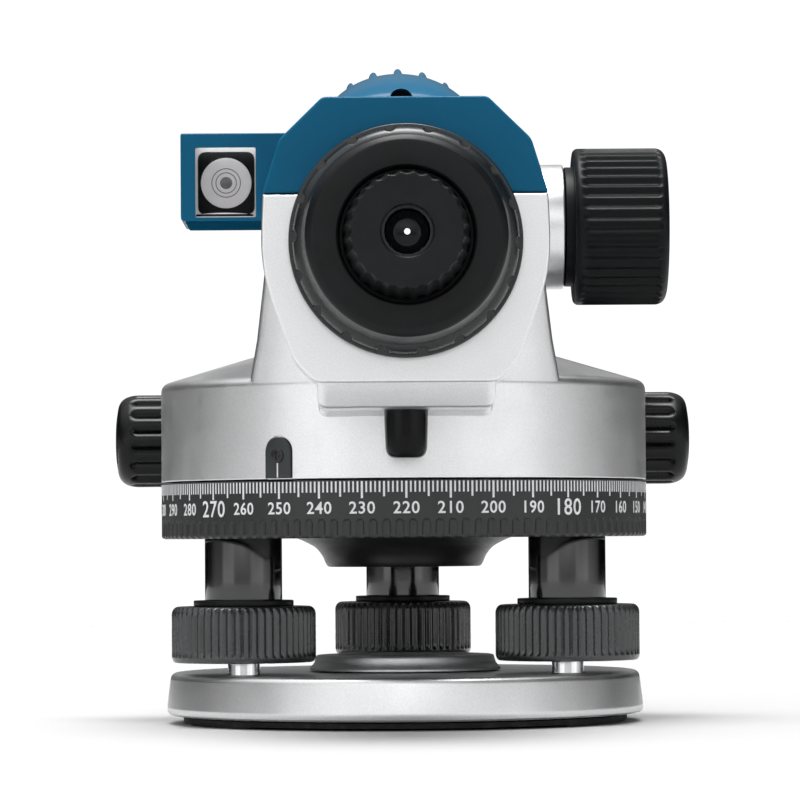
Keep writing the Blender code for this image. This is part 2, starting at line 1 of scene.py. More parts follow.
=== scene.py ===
"""Looks of the automatic level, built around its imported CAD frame.

Lengths in this file are millimetres in the frame's own axes (+Z up, eyepiece towards -Y), unless a
name ends in _m; MM turns them into metres.
"""
import json
import math

import bmesh
import bpy
from mathutils import Matrix, Vector


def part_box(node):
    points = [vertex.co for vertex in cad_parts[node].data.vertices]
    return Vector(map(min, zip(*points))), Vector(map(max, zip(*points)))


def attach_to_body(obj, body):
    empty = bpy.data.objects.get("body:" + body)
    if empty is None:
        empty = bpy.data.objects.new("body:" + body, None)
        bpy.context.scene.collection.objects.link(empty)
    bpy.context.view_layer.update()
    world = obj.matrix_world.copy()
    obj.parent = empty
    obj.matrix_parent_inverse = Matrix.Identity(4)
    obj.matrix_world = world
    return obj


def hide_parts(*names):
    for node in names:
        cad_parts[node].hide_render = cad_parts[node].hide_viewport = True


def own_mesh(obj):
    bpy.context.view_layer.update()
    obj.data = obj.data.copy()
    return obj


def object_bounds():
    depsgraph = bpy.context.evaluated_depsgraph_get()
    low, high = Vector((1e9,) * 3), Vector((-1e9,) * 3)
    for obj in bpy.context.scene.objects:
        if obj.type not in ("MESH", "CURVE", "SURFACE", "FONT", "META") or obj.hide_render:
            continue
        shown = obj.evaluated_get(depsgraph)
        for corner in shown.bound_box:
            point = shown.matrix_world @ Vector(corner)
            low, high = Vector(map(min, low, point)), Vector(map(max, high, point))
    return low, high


MM = 0.001
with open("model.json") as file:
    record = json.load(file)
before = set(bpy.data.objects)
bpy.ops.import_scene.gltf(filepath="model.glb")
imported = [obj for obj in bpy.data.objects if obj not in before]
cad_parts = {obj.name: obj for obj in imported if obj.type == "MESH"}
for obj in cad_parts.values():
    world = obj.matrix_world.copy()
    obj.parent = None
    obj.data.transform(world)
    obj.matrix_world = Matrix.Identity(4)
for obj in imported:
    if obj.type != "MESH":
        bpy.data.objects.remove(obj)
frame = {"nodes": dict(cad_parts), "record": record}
cad_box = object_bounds()
record = frame["record"]
BODY_OF = {node: body for body, nodes in record["behaviour"]["bodies"].items() for node in nodes}
SLOT_OF = {part["node"]: part["material_slot"] for part in record["subparts"]}


def low(node):
    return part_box(node)[0] / MM


def high(node):
    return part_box(node)[1] / MM


def middle(node):
    return (low(node) + high(node)) / 2


def span(node, axis):
    return getattr(low(node), axis), getattr(high(node), axis)


# ---- sizes read from the frame ----
AXIS = middle("eyepiece_tube")                 # a point on the line of sight
SIGHT = Vector((0, 0, AXIS.z))
DRUM_R = high("main_housing").x
DRUM_BOTTOM = low("main_housing").z
DIAL_LOW, DIAL_HIGH = span("horizontal_circle", "z")
DIAL_R = DRUM_R
REAR_Y, FRONT_Y = span("main_housing", "y")
SPLIT_Z = (high("main_housing").z + low("top_cover").z) / 2
COVER_HALF = high("top_cover").x
DOME_TOP = high("top_cover").z
FOCUS = middle("focus_shaft")
DRIVE = middle("drive_shaft")
BUTTON = middle("lock_button")
SCREWS = [(name, middle("footscrew_spindle_" + name)) for name in ("left", "right", "rear")]
INDEX_TURN = Matrix.Rotation(math.radians(-30), 4, "Z")
NUDGE = Vector((-0.35, 0, 0))                   # the bubble sits a hair outboard of its box
FIRST_NUMBER = 220                             # graduation that faces the eyepiece side
SHAFT_BORE = 3.3                               # radius of the holes for the focus and drive shafts

# ---- stage sizes ----
FLOOR_REACH = 1100.0
BACKDROP = 1.05                                # brightness of the world as the camera sees it
CAMERA_SPOT, CAMERA_AIM = Vector((-9.5, -952, 39.8)), Vector((8.8, 952, 30.8))
LENS, CAMERA_ROLL = 194.7, 0.4                 # millimetres and degrees


# ---- mesh helpers ----
def as_object(name, mesh_data, sharp=30.0):
    """Turn a bmesh in millimetres into an object with smooth faces and crisp edges."""
    bmesh.ops.recalc_face_normals(mesh_data, faces=mesh_data.faces)
    bmesh.ops.scale(mesh_data, vec=(MM, MM, MM), verts=mesh_data.verts)
    mesh = bpy.data.meshes.new(name)
    mesh_data.to_mesh(mesh)
    mesh_data.free()
    mesh.shade_smooth()
    mesh.set_sharp_from_angle(angle=math.radians(sharp))
    piece = bpy.data.objects.new(name, mesh)
    bpy.context.scene.collection.objects.link(piece)
    return piece


def rounded(points, reach, steps=4, closed=True):
    """Replace each corner by a curve that starts 'reach' before it and ends as far after it.
    reach is one length, or one for each corner; 0 keeps the corner sharp."""
    result = []
    count = len(points)
    reaches = reach if isinstance(reach, (list, tuple)) else [reach] * count
    for index, point in enumerate(points):
        corner = Vector(point)
        size = reaches[index]
        if size == 0 or (not closed and index in (0, count - 1)):
            result.append(tuple(corner))
            continue
        before, after = Vector(points[index - 1]), Vector(points[(index + 1) % count])
        to_before, to_after = before - corner, after - corner
        start = corner + to_before.normalized() * min(size, to_before.length * 0.48)
        end = corner + to_after.normalized() * min(size, to_after.length * 0.48)
        for step in range(steps + 1):
            t = step / steps
            result.append(tuple(start * (1 - t) ** 2 + corner * (2 * t * (1 - t)) + end * t ** 2))
    return result


def axis_point(axis, radius, angle, height):
    across, up = radius * math.cos(angle), radius * math.sin(angle)
    if axis == "X":
        return Vector((height, across, up))
    if axis == "Y":
        return Vector((across, height, up))
    return Vector((across, up, height))


def turned_mesh(profile, steps, axis="Z", origin=(0, 0, 0), ripple=None):
    """Spin a closed (radius, height) profile round an axis through origin.
    ripple(angle, radius, height) returns a changed radius."""
    result = bmesh.new()
    centre = Vector(origin)
    if axis == "X":
        centre.x = 0
    elif axis == "Y":
        centre.y = 0
    else:
        centre.z = 0
    rings = []
    for radius, height in profile:
        if radius < 1e-6:
            rings.append([result.verts.new(centre + axis_point(axis, 0, 0, height))])
            continue
        ring = []
        for step in range(steps):
            angle = 2 * math.pi * step / steps
            size = ripple(angle, radius, height) if ripple else radius
            ring.append(result.verts.new(centre + axis_point(axis, size, angle, height)))
        rings.append(ring)
    for first, second in zip(rings, rings[1:] + rings[:1]):
        if len(first) == 1 and len(second) == 1:
            continue
        for step in range(steps):
            after = (step + 1) % steps
            corners = [first[step % len(first)], first[after % len(first)],
                       second[after % len(second)], second[step % len(second)]]
            result.faces.new(list(dict.fromkeys(corners)))
    return result


def turned(name, profile, steps=96, axis="Z", origin=(0, 0, 0), ripple=None):
    return as_object(name, turned_mesh(profile, steps, axis, origin, ripple))


def loft_mesh(sections):
    result = bmesh.new()
    rings = [[result.verts.new(point) for point in section] for section in sections]
    for first, second in zip(rings, rings[1:]):
        for index in range(len(first)):
            after = (index + 1) % len(first)
            result.faces.new((first[index], first[after], second[after], second[index]))
    result.faces.new(rings[0])
    result.faces.new(rings[-1])
    return result


def loft(name, sections):
    return as_object(name, loft_mesh(sections))


def at_y(outline, y):
    return [(x, y, z) for x, z in outline]


def at_z(outline, z):
    return [(x, y, z) for x, y in outline]


def at_x(outline, x):
    return [(x, y, z) for y, z in outline]


def prism(name, outline, start, end, place=at_z):
    return loft(name, [place(outline, start), place(outline, end)])


def rectangle(start, end, margin=0.0):
    """Four corners from start to end, with a margin all round."""
    x0, y0, x1, y1 = start[0] - margin, start[1] - margin, end[0] + margin, end[1] + margin
    return [(x0, y0), (x1, y0), (x1, y1), (x0, y1)]


def soft_box(name, corner, opposite, edge=0.4):
    """A box with rounded edges all round."""
    (x0, y0, z0), (x1, y1, z1) = corner, opposite
    sections = []
    for inset, z in ((edge, z0), (edge * 0.3, z0 + edge * 0.3), (0, z0 + edge),
                     (0, z1 - edge), (edge * 0.3, z1 - edge * 0.3), (edge, z1)):
        sections.append(at_z(rounded(rectangle((x0, y0), (x1, y1), -inset), edge, 3), z))
    return loft(name, sections)


def inset_outline(outline, inset):
    """Move a convex outline inwards by the same amount all round."""
    result = []
    count = len(outline)
    for index, point in enumerate(outline):
        here = Vector(point)
        one = (here - Vector(outline[index - 1])).normalized()
        two = (Vector(outline[(index + 1) % count]) - here).normalized()
        normal = Vector((-(one.y + two.y), one.x + two.x))
        if normal.length < 1e-9:
            result.append(tuple(here))
            continue
        normal.normalize()
        stretch = max(0.5, normal.dot(Vector((-one.y, one.x))))
        result.append(tuple(here + normal * (inset / stretch)))
    return result


def end_rounding(y, inwards, edge):
    """(y, inset) stations that round the end of a loft; inwards is +1 or -1 along Y."""
    stations = []
    for step in range(5):
        angle = math.pi / 2 * step / 4
        stations.append((y + inwards * edge * (1 - math.sin(angle)), edge * (1 - math.cos(angle))))
    return stations if inwards < 0 else stations[::-1]


def weld(mesh):
    """Merge the hair-thin slivers that cuts leave behind."""
    working = bmesh.new()
    working.from_mesh(mesh)
    bmesh.ops.remove_doubles(working, verts=working.verts, dist=0.002 * MM)
    bmesh.ops.dissolve_degenerate(working, edges=working.edges, dist=0.001 * MM)
    working.to_mesh(mesh)
    working.free()


def shaped(target, joined=(), removed=()):
    """Join and cut with exact Booleans, keep the result as the target's own mesh."""
    for operation, tools in (("UNION", joined), ("DIFFERENCE", removed)):
        for tool in tools:
            modifier = target.modifiers.new(operation, "BOOLEAN")
            modifier.operation = operation
            modifier.solver = "EXACT"
            modifier.object = tool
    bpy.context.view_layer.update()
    depsgraph = bpy.context.evaluated_depsgraph_get()
    result = bpy.data.meshes.new_from_object(target.evaluated_get(depsgraph))
    target.modifiers.clear()
    target.data = result
    weld(result)
    result.shade_smooth()
    result.set_sharp_from_angle(angle=math.radians(30))
    for tool in list(joined) + list(removed):
        bpy.data.objects.remove(tool)
    weighted = target.modifiers.new("even_normals", "WEIGHTED_NORMAL")
    weighted.keep_sharp = True
    return target


def cylinder_tool(radius, start, end, axis="Z", origin=(0, 0, 0), steps=48):
    return turned("tool", rectangle((0, start), (radius, end)), steps, axis, origin)


# ---- material helpers ----
class Paint:
    """A Principled material whose details are mixed from procedural textures in object space."""

    def __init__(self, name, **fixed):
        self.material = bpy.data.materials.new(name)
        self.material.use_nodes = True
        self.tree = self.material.node_tree
        self.shader = self.tree.nodes["Principled BSDF"]
        for key, value in fixed.items():
            value = (*value, 1.0) if isinstance(value, tuple) else value
            self.shader.inputs[key.replace("_", " ")].default_value = value
        self.coordinates = self.tree.nodes.new("ShaderNodeTexCoord").outputs["Object"]

    def link(self, source, socket):
        self.tree.links.new(source, self.shader.inputs[socket])

    def tint(self, factor, first, second):
        """Base colour that wanders between two colours."""
        self.link(self.blend(factor, first, second), "Base Color")

    def polish(self, texture, smooth, rough):
        """Roughness that wanders between two values."""
        self.link(self.between(texture, 0.3, 0.7, smooth, rough), "Roughness")

    def noise(self, size_mm, detail=2.0, roughness=0.5, stretch=None):
        node = self.tree.nodes.new("ShaderNodeTexNoise")
        node.inputs["Scale"].default_value = 1 / (size_mm * MM)
        node.inputs["Detail"].default_value = detail
        node.inputs["Roughness"].default_value = roughness
        source = self.coordinates
        if stretch:
            scaling = self.tree.nodes.new("ShaderNodeMapping")
            scaling.inputs["Scale"].default_value = stretch
            self.tree.links.new(source, scaling.inputs["Vector"])
            source = scaling.outputs["Vector"]
        self.tree.links.new(source, node.inputs["Vector"])
        return node.outputs["Fac"]

    def between(self, source, start, end, first, second):
        """Map source from start..end to first..second."""
        node = self.tree.nodes.new("ShaderNodeMapRange")
        node.inputs["From Min"].default_value = start
        node.inputs["From Max"].default_value = end
        node.inputs["To Min"].default_value = first
        node.inputs["To Max"].default_value = second
        self.tree.links.new(source, node.inputs["Value"])
        return node.outputs["Result"]

    def blend(self, factor, first, second):
        """Mix two colours, each a tuple or another node's output."""
        node = self.tree.nodes.new("ShaderNodeMix")
        node.data_type = "RGBA"
        self.tree.links.new(factor, node.inputs["Factor"])
        for socket, value in (("A", first), ("B", second)):
            slot = next(s for s in node.inputs if s.name == socket and s.type == "RGBA")
            if isinstance(value, tuple):
                slot.default_value = (*value, 1.0)
            else:
                self.tree.links.new(value, slot)
        return next(s for s in node.outputs if s.type == "RGBA")

    def edges(self, start=0.52, end=0.6):
        """1 on raised edges, 0 elsewhere."""
        node = self.tree.nodes.new("ShaderNodeNewGeometry")
        return self.between(node.outputs["Pointiness"], start, end, 0.0, 1.0)

    def bump(self, height, strength, depth_mm, base=None):
        node = self.tree.nodes.new("ShaderNodeBump")
        node.inputs["Strength"].default_value = strength
        node.inputs["Distance"].default_value = depth_mm * MM
        self.tree.links.new(height, node.inputs["Height"])
        if base:
            self.tree.links.new(base, node.inputs["Normal"])
        self.link(node.outputs["Normal"], "Normal")
        return node.outputs["Normal"]


def silver_paint():
    """Cast aluminium under satin silver paint: fine flakes, slight orange peel, soft mottling."""
    paint = Paint("silver_paint", Metallic=0.93)
    flakes = paint.noise(0.3, 3.0, 0.6)
    sparkle = paint.between(flakes, 0.35, 0.65, 0.0, 1.0)
    tone = paint.blend(sparkle, (0.74, 0.745, 0.755), (0.83, 0.833, 0.84))
    # Raised edges are tinted paler than the flat paint: a painted highlight.
    paint.tint(paint.edges(0.6, 0.8), tone, (0.86, 0.86, 0.87))
    paint.polish(paint.noise(6.0, 4.0), 0.29, 0.35)
    grain = paint.bump(flakes, 0.12, 0.05)
    paint.bump(paint.noise(1.4, 2.0), 0.08, 0.1, grain)
    return paint.material


def turned_aluminium():
    paint = Paint("turned_aluminium", Metallic=1.0)
    marks = paint.noise(4.0, 6.0, 0.7)
    paint.polish(marks, 0.14, 0.3)
    paint.tint(marks, (0.7, 0.71, 0.72), (0.86, 0.86, 0.87))
    paint.bump(paint.noise(0.3, 2.0, 0.5, (0.3, 0.3, 3.0)), 0.1, 0.02)
    return paint.material


def blue_paint():
    """Satin blue moulding with a fine leathery grain; its raised edges are tinted a lighter blue as a
    painted highlight.
    """
    paint = Paint("blue_paint", Specular_IOR_Level=0.1)
    cloud = paint.noise(14.0, 3.0)
    patches = paint.between(cloud, 0.3, 0.7, 0.0, 1.0)
    body = paint.blend(patches, (0.0026, 0.089, 0.177), (0.0033, 0.098, 0.193))
    # Painted highlight: raised edges turn a paler blue.
    paint.tint(paint.edges(0.53, 0.64), body, (0.02, 0.17, 0.3))
    paint.polish(cloud, 0.2, 0.28)
    paint.bump(paint.noise(0.5, 3.0, 0.6), 0.16, 0.05)
    return paint.material


def black_moulding(name="black_plastic", colour=(0.0036, 0.0042, 0.0048), roughness=0.34, gloss=0.2):
    """Black moulded plastic with a fine texture and faint handling marks."""
    paint = Paint(name, Specular_IOR_Level=gloss)
    rub = paint.noise(9.0, 5.0, 0.6)
    paint.tint(paint.between(rub, 0.4, 0.75, 0.0, 1.0), colour, tuple(value * 1.8 for value in colour))
    paint.polish(rub, roughness - 0.06, roughness + 0.1)
    paint.bump(paint.noise(0.35, 2.0), 0.12, 0.04)
    return paint.material


def black_gloss():
    paint = Paint("black_gloss", Base_Color=(0.004, 0.004, 0.005), IOR=1.65, Coat_Weight=0.4)
    paint.polish(paint.noise(7.0, 4.0), 0.07, 0.17)
    paint.bump(paint.noise(2.5, 2.0), 0.03, 0.05)
    return paint.material


def anodised(name, colour, roughness):
    """Satin anodised metal with fine circular tool marks left to noise stretched along Z."""
    paint = Paint(name, Metallic=0.25)
    marks = paint.noise(0.6, 4.0, 0.6, (0.35, 0.35, 4.0))
    paint.tint(marks, colour, tuple(value * 1.6 for value in colour))
    paint.polish(marks, roughness - 0.05, roughness + 0.08)
    paint.bump(marks, 0.06, 0.02)
    return paint.material


def rubber():
    paint = Paint("pad_rubber", Roughness=0.75)
    dust = paint.between(paint.noise(5.0, 5.0, 0.7), 0.5, 0.8, 0.0, 1.0)
    paint.tint(dust, (0.011, 0.011, 0.011), (0.05, 0.048, 0.045))
    paint.bump(paint.noise(0.5, 3.0), 0.3, 0.08)
    return paint.material


def metal(name, colour, roughness):
    """Bare metal with fine turning marks."""
    paint = Paint(name, Metallic=1.0)
    marks = paint.noise(0.5, 4.0, 0.6, (0.4, 0.4, 4.0))
    paint.polish(marks, roughness * 0.7, roughness * 1.4)
    paint.tint(marks, tuple(value * 0.85 for value in colour), colour)
    paint.bump(marks, 0.05, 0.02)
    return paint.material


def polished(name, size, smooth, rough, **fixed):
    """Glass or mirror of one colour, with faint smears in its gloss."""
    paint = Paint(name, **fixed)
    paint.polish(paint.noise(size, 3.0), smooth, rough)
    return paint.material


def mottled(name, size, detail, first, second, **fixed):
    """Plain paint or ink whose colour wanders a little."""
    paint = Paint(name, **fixed)
    paint.tint(paint.noise(size, detail), first, second)
    return paint.material


MATERIAL = {
    "silver_paint": silver_paint(),
    "turned_aluminium": turned_aluminium(),
    "blue_paint": blue_paint(),
    "black_plastic": black_moulding(),
    "black_gloss": black_gloss(),
    "black_paint": anodised("black_paint", (0.012, 0.012, 0.013), 0.35),
    "dial_black": anodised("dial_black", (0.019, 0.0197, 0.0205), 0.33),
    "dark_grey_paint": anodised("dark_grey_paint", (0.02, 0.024, 0.025), 0.4),
    "pad_rubber": rubber(),
    "steel": metal("steel", (0.56, 0.57, 0.59), 0.28),
    "chromed_steel": metal("chromed_steel", (0.8, 0.8, 0.82), 0.1),
    "brass": metal("brass", (0.62, 0.43, 0.17), 0.3),
    "lens_glass": polished("lens_glass", 8.0, 0.01, 0.035, Base_Color=(0.9, 0.95, 0.93),
                           Transmission_Weight=1.0, IOR=1.5),
    "mirror": polished("mirror", 3.0, 0.015, 0.05, Base_Color=(0.86, 0.88, 0.88), Metallic=1.0),
}
WHITE_INK = Paint("white_ink", Roughness=0.5)
WHITE_INK.tint(WHITE_INK.noise(1.2, 3.0, 0.6), (0.6, 0.61, 0.62), (0.85, 0.86, 0.87))
INK = WHITE_INK.material
GRIP = black_moulding("grip_plastic", (0.0145, 0.016, 0.0175), 0.25, 0.85)
RING_BLACK = black_moulding("ring_plastic", (0.0065, 0.0073, 0.008), 0.24, 0.5)
BUTTON_BLACK = black_moulding("button_plastic", (0.0018, 0.002, 0.0022), 0.17, 0.15)
KNOB_BLACK = black_moulding("drive_plastic", (0.0022, 0.0025, 0.0028), 0.27, 0.22)
FOCUS_BLACK = black_moulding("focus_plastic", (0.0034, 0.004, 0.0045), 0.42, 0.14)
BUSH_METAL = metal("bush_metal", (0.78, 0.79, 0.8), 0.5)


def paint_frame():
    """Every CAD node that stays visible gets its slot's procedural material."""
    for node, piece in frame["nodes"].items():
        piece.data.materials.clear()
        piece.data.materials.append(MATERIAL[SLOT_OF[node]])


def attach(piece, body, slot, material=None):
    """Hang a piece on a body, in its slot's finish or a finish of its own."""
    piece.data.materials.clear()
    piece.data.materials.append(material or MATERIAL[slot])
    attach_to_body(piece, body)
    return piece


def settle(piece, node, material=None):
    """Let a detailed piece stand for a CAD node, on the node's body and in its slot."""
    attach(piece, BODY_OF[node], SLOT_OF[node], material)
    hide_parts(node)
    return piece


# ---- base ----
def make_base():
    bottom, top = span("base_plate", "z")
    foot_r = high("base_plate").x
    profile = [(12.3, bottom), (12.3, top), (foot_r - 1.0, top), (foot_r + 0.1, bottom),
               (49.2, bottom), (49.2, bottom + 1.7), (16.0, bottom + 1.7), (16.0, bottom)]
    reach = [0.2, 0.5, 1.5, 1.9, 0.1, 0.1, 0.1, 0.2]
    plate = turned("base_plate_casting", rounded(profile, reach), 160)
    holes = [cylinder_tool(4.4, 2.5, 12, origin=spot, steps=45) for _, spot in SCREWS]
    for index in range(3):
        spot = middle(f"spring_screw_{index + 1}")
        holes.append(cylinder_tool(1.9, 2.5, 7.5, origin=spot, steps=24))
    settle(shaped(plate, removed=holes), "base_plate")

    pad_r, pad_top = high("base_pad").x, high("base_pad").z
    towards = [math.atan2(spot.y, spot.x) for _, spot in SCREWS]

    def feet(angle, height):
        near = max(math.cos(angle - other) for other in towards)
        lift = 0.4 * (1 - min(1, max(0, (near - 0.955) / 0.02)))
        return height + lift * (1 - height / pad_top)

    pad = turned_mesh(rounded(rectangle((14.0, 0), (pad_r, pad_top)), 0.25), 180)
    for vertex in pad.verts:
        vertex.co.z = feet(math.atan2(vertex.co.y, vertex.co.x), vertex.co.z)
    settle(as_object("base_pad_moulding", pad), "base_pad")
    make_bush()


def screw_wave(angle, height, pitch):
    """Height of a V thread at a point, 0 to 1 and back once for each pitch."""
    phase = (height / pitch + angle / (2 * math.pi)) % 1
    return 1 - abs(2 * phase - 1)


def make_bush():
    """Flanged bush with the coarse tripod thread in its bore (11 turns to the inch)."""
    bottom, top = span("tripod_bush", "z")
    flange_r = high("tripod_bush").x
    pitch, crest, root = 25.4 / 11, 7.94, 8.7
    steps = 60
    bore = [(crest, top - 1.1 - (top - 1.6 - bottom) * step / steps) for step in range(steps + 1)]

    def thread(angle, radius, height):
        if radius > crest + 0.01:
            return radius
        fade = min(1, (top - 1.1 - height) / 1.2, (height - bottom - 0.4) / 1.2)
        return crest + (root - crest) * max(0, fade) * screw_wave(angle, height, pitch)

    outer = [(12.0, bottom), (12.0, 11.4), (flange_r, 11.4), (flange_r - 0.05, 11.9), (flange_r - 1.1, 12.9),
             (flange_r - 1.5, top), (14.2, top), (13.9, top - 0.5), (9.3, top - 0.5)]
    profile = rounded(outer, [0.2, 0, 0.2, 0.3, 0.9, 0.6, 0.2, 0.2, 0.3], 4, closed=False)
    settle(turned("tripod_bush_turned", profile + bore, 96, ripple=thread), "tripod_bush",
           material=BUSH_METAL)


# ---- footscrews ----
def groove(count, depth, angle, sharpness=1.0):
    """Depth of a ribbed grip at an angle: 0 on the crests, depth in the grooves."""
    wave = 0.5 - 0.5 * math.cos(count * angle)
    return depth * wave ** sharpness


def window(value, start, end, soft):
    """1 between start and end, fading to 0 outside over 'soft'."""
    return max(0.0, min(1.0, (value - start) / soft, (end - value) / soft))


def make_footscrews():
    bottom, top = span("footscrew_knob_left", "z")
    knob_r = (high("footscrew_knob_left").x - low("footscrew_knob_left").x) / 2
    ribs = 54

    def grip(angle, radius, height):
        if radius < knob_r - 1.2:
            return radius
        return radius - groove(ribs, 0.55, angle, 1.6) * window(height, bottom + 1.2, top - 0.15, 0.5)

    outer = rounded([(3.75, bottom), (knob_r - 0.5, bottom), (knob_r, bottom + 0.9), (knob_r, top - 1.0),
                     (knob_r - 0.9, top), (8.9, top), (8.9, 18.6), (3.75, 18.6)],
                    [0, 0.4, 0.5, 0.9, 0.6, 0.2, 0.2, 0], 4)
    for name, spot in SCREWS:
        knob = turned("footscrew_grip_" + name, refine(outer, 0.7), ribs * 8, origin=spot, ripple=grip)
        settle(knob, "footscrew_knob_" + name, material=GRIP)
        washer = rectangle((8.75, top + 0.05), (10.75, high("footscrew_collar_" + name).z))
        settle(turned("footscrew_washer_" + name, rounded(washer, 0.25, 3), 72, origin=spot),
               "footscrew_collar_" + name)
        sleeve_low, sleeve_high = span("footscrew_sleeve_" + name, "z")
        barrel = rectangle((4.2, sleeve_low), (8.3, sleeve_high))
        settle(turned("footscrew_barrel_" + name, rounded(barrel, 0.3, 3), 72, origin=spot),
               "footscrew_sleeve_" + name)
        make_spindle(name, spot)


def refine(profile, longest):
    """Split long profile edges, so that a ripple can fade along them."""
    result = []
    for first, second in zip(profile, profile[1:] + profile[:1]):
        pieces = max(1, math.ceil((Vector(second) - Vector(first)).length / longest))
        for step in range(pieces):
            point = Vector(first).lerp(Vector(second), step / pieces)
            result.append(tuple(point))
    return result


def make_spindle(name, spot):
    """Chromed stem with its ball foot; the upper half carries a fine thread."""
    ball_r, ball_z, stem_r, stem_top = 4.0, 7.6, 3.45, high("footscrew_spindle_left").z
    angles = [math.radians(118) * step / 12 for step in range(13)]
    profile = [(ball_r * math.sin(angle), ball_z - ball_r * math.cos(angle)) for angle in angles]
    profile += [(stem_r, ball_z + 2.8), (stem_r, 18.0)]
    pitch, row_height, thread_start = 0.7, 0.14, 19.0
    rows = int((stem_top - thread_start) / row_height)
    profile += [(stem_r, thread_start + row_height * row) for row in range(rows)]
    profile += [(stem_r - 0.4, stem_top), (0, stem_top)]

    def thread(angle, radius, height):
        if height < thread_start - 0.1 or radius < stem_r - 0.01:
            return radius
        return radius - 0.3 * screw_wave(angle, height, pitch)

    settle(turned("footscrew_stem_" + name, profile, 36, origin=spot, ripple=thread),
           "footscrew_spindle_" + name)


# ---- tribrach and dial ----
def make_tribrach():
    hub_low, neck_top = span("tribrach_plate", "z")
    plate_r = high("tribrach_plate").x
    outline = [(0, hub_low), (16.7, hub_low), (17.25, hub_low + 0.7), (17.9, 36.4), (19.4, 38.3),
               (22.4, 39.9), (25.4, 40.9), (plate_r, 40.9), (plate_r, 44.6), (13.5, 44.6),
               (13.5, neck_top), (9.3, neck_top), (9.3, 36.0), (0, 36.0)]
    reach = [0, 0.5, 0.4, 0.9, 1.0, 1.4, 1.2, 0.4, 0.4, 0.5, 0.3, 0.2, 0.2, 0]
    plate = turned("tribrach_casting", rounded(outline, reach), 144)
    holes = [cylinder_tool(4.2, 38, 46, origin=spot, steps=32) for _, spot in SCREWS]
    settle(shaped(plate, removed=holes), "tribrach_plate")


def make_dial():
    """Graduated ring: 120 round-topped notches round its lower edge."""
    notch_top, notch_half, pitch = 44.2, 0.78, 2 * math.pi / 120

    def notches(angle, radius, height):
        if radius < DIAL_R - 0.6 or height > notch_top + 0.1:
            return radius
        offset = ((angle / pitch) % 1 - 0.5) * pitch * DIAL_R
        above = max(0.0, height - (notch_top - notch_half))
        distance = math.hypot(offset, above) / notch_half
        if distance >= 1:
            return radius
        return radius - 0.42 * math.sqrt(1 - distance ** 2) ** 0.6

    inner, web_low, web_high, hub = 50.4, 49.2, 51.4, 14.0
    lower = [(hub, 45.2), (17.0, 45.2), (17.0, web_low), (inner, web_low), (inner, DIAL_LOW),
             (DIAL_R - 0.7, DIAL_LOW)]
    wall = [(DIAL_R - 0.15, DIAL_LOW + 0.25)]
    height = DIAL_LOW + 0.6
    while height < notch_top + 0.3:
        wall.append((DIAL_R, height))
        height += 0.16
    upper = [(DIAL_R, notch_top + 0.6), (DIAL_R, DIAL_HIGH - 0.25), (DIAL_R - 0.25, DIAL_HIGH),
             (50.0, DIAL_HIGH), (50.0, web_high), (hub, web_high)]
    ring = turned("dial_ring", lower + wall + upper, 1440, ripple=notches)
    settle(ring, "horizontal_circle")
    make_graduation()
    make_numerals()


def on_dial(value_degrees, across, z, lift=0.02):
    """Point on the dial's wall: across is millimetres to the right of a graduation value."""
    angle = math.radians(value_degrees - FIRST_NUMBER) - across / DIAL_R
    radius = DIAL_R + lift
    return Vector((-radius * math.sin(angle), -radius * math.cos(angle), z))


def make_graduation():
    """One raised white stroke for each degree, longer for fives and tens."""
    strokes = bmesh.new()
    top = DIAL_HIGH - 0.3
    for value in range(360):
        length, width = (3.55, 0.46) if value % 10 == 0 else (3.2, 0.42) if value % 5 == 0 else (2.3, 0.36)
        corners = []
        for lift in (-0.05, 0.03):
            for across, z in ((-width / 2, top), (width / 2, top), (width / 2, top - length),
                              (-width / 2, top - length)):
                corners.append(strokes.verts.new(on_dial(value, across, z, lift)))
        for side in ((4, 5, 6, 7), (3, 2, 1, 0), (0, 1, 5, 4), (1, 2, 6, 5), (2, 3, 7, 6), (3, 0, 4, 7)):
            strokes.faces.new([corners[index] for index in side])
    attach(as_object("dial_graduation", strokes), "circle", "dial_black", INK)


def make_numerals():
    """Numbers every ten degrees, the quadrants larger, wrapped round the dial's wall."""
    centre_z = 46.6
    collected = bmesh.new()
    for value in range(0, 360, 10):
        curve = bpy.data.curves.new("number", "FONT")
        curve.body = str(value)
        curve.align_x = curve.align_y = "CENTER"
        curve.size = 4.9 if value % 90 == 0 else 3.55
        curve.offset, curve.extrude = 0.045, 0.04
        curve.space_character, curve.resolution_u = 1.08, 3
        text = bpy.data.objects.new("number", curve)
        bpy.context.scene.collection.objects.link(text)
        bpy.context.view_layer.update()
        mesh = bpy.data.meshes.new_from_object(text.evaluated_get(bpy.context.evaluated_depsgraph_get()))
        middle_y = (max(v.co.y for v in mesh.vertices) + min(v.co.y for v in mesh.vertices)) / 2
        for vertex in mesh.vertices:
            lift = vertex.co.z
            vertex.co = on_dial(value, vertex.co.x, centre_z + vertex.co.y - middle_y, lift)
        collected.from_mesh(mesh)
        bpy.data.objects.remove(text)
    attach(as_object("dial_numerals", collected), "circle", "dial_black", INK)


# ---- housing ----
def mirrored(half):
    return half + [(-x, z) for x, z in reversed(half)]


def silver_outline(bottom, inset=0.0):
    half = [(18.4, bottom), (20.9, bottom + 2.4), (23.0, bottom + 4.7), (25.2, 82.5), (27.7, 89.5),
            (29.0, 95.0), (29.4, 99.5), (29.3, 105.0), (29.05, SPLIT_Z - 0.1)]
    reach = [1.2, 1.2, 1.5, 3.0, 3.0, 2.0, 2.0, 2.0, 0.25]
    return rounded(inset_outline(mirrored(half), inset), reach + reach[::-1], 3)


def chin_outline(bottom):
    """Block that carries the telescope's underside down to the drum."""
    half_width, top = 18.2, 76.0
    outline = [(half_width, bottom), (half_width, top), (-half_width, top), (-half_width, bottom)]
    return rounded(outline, [2.4, 0.3, 0.3, 2.4], 6)


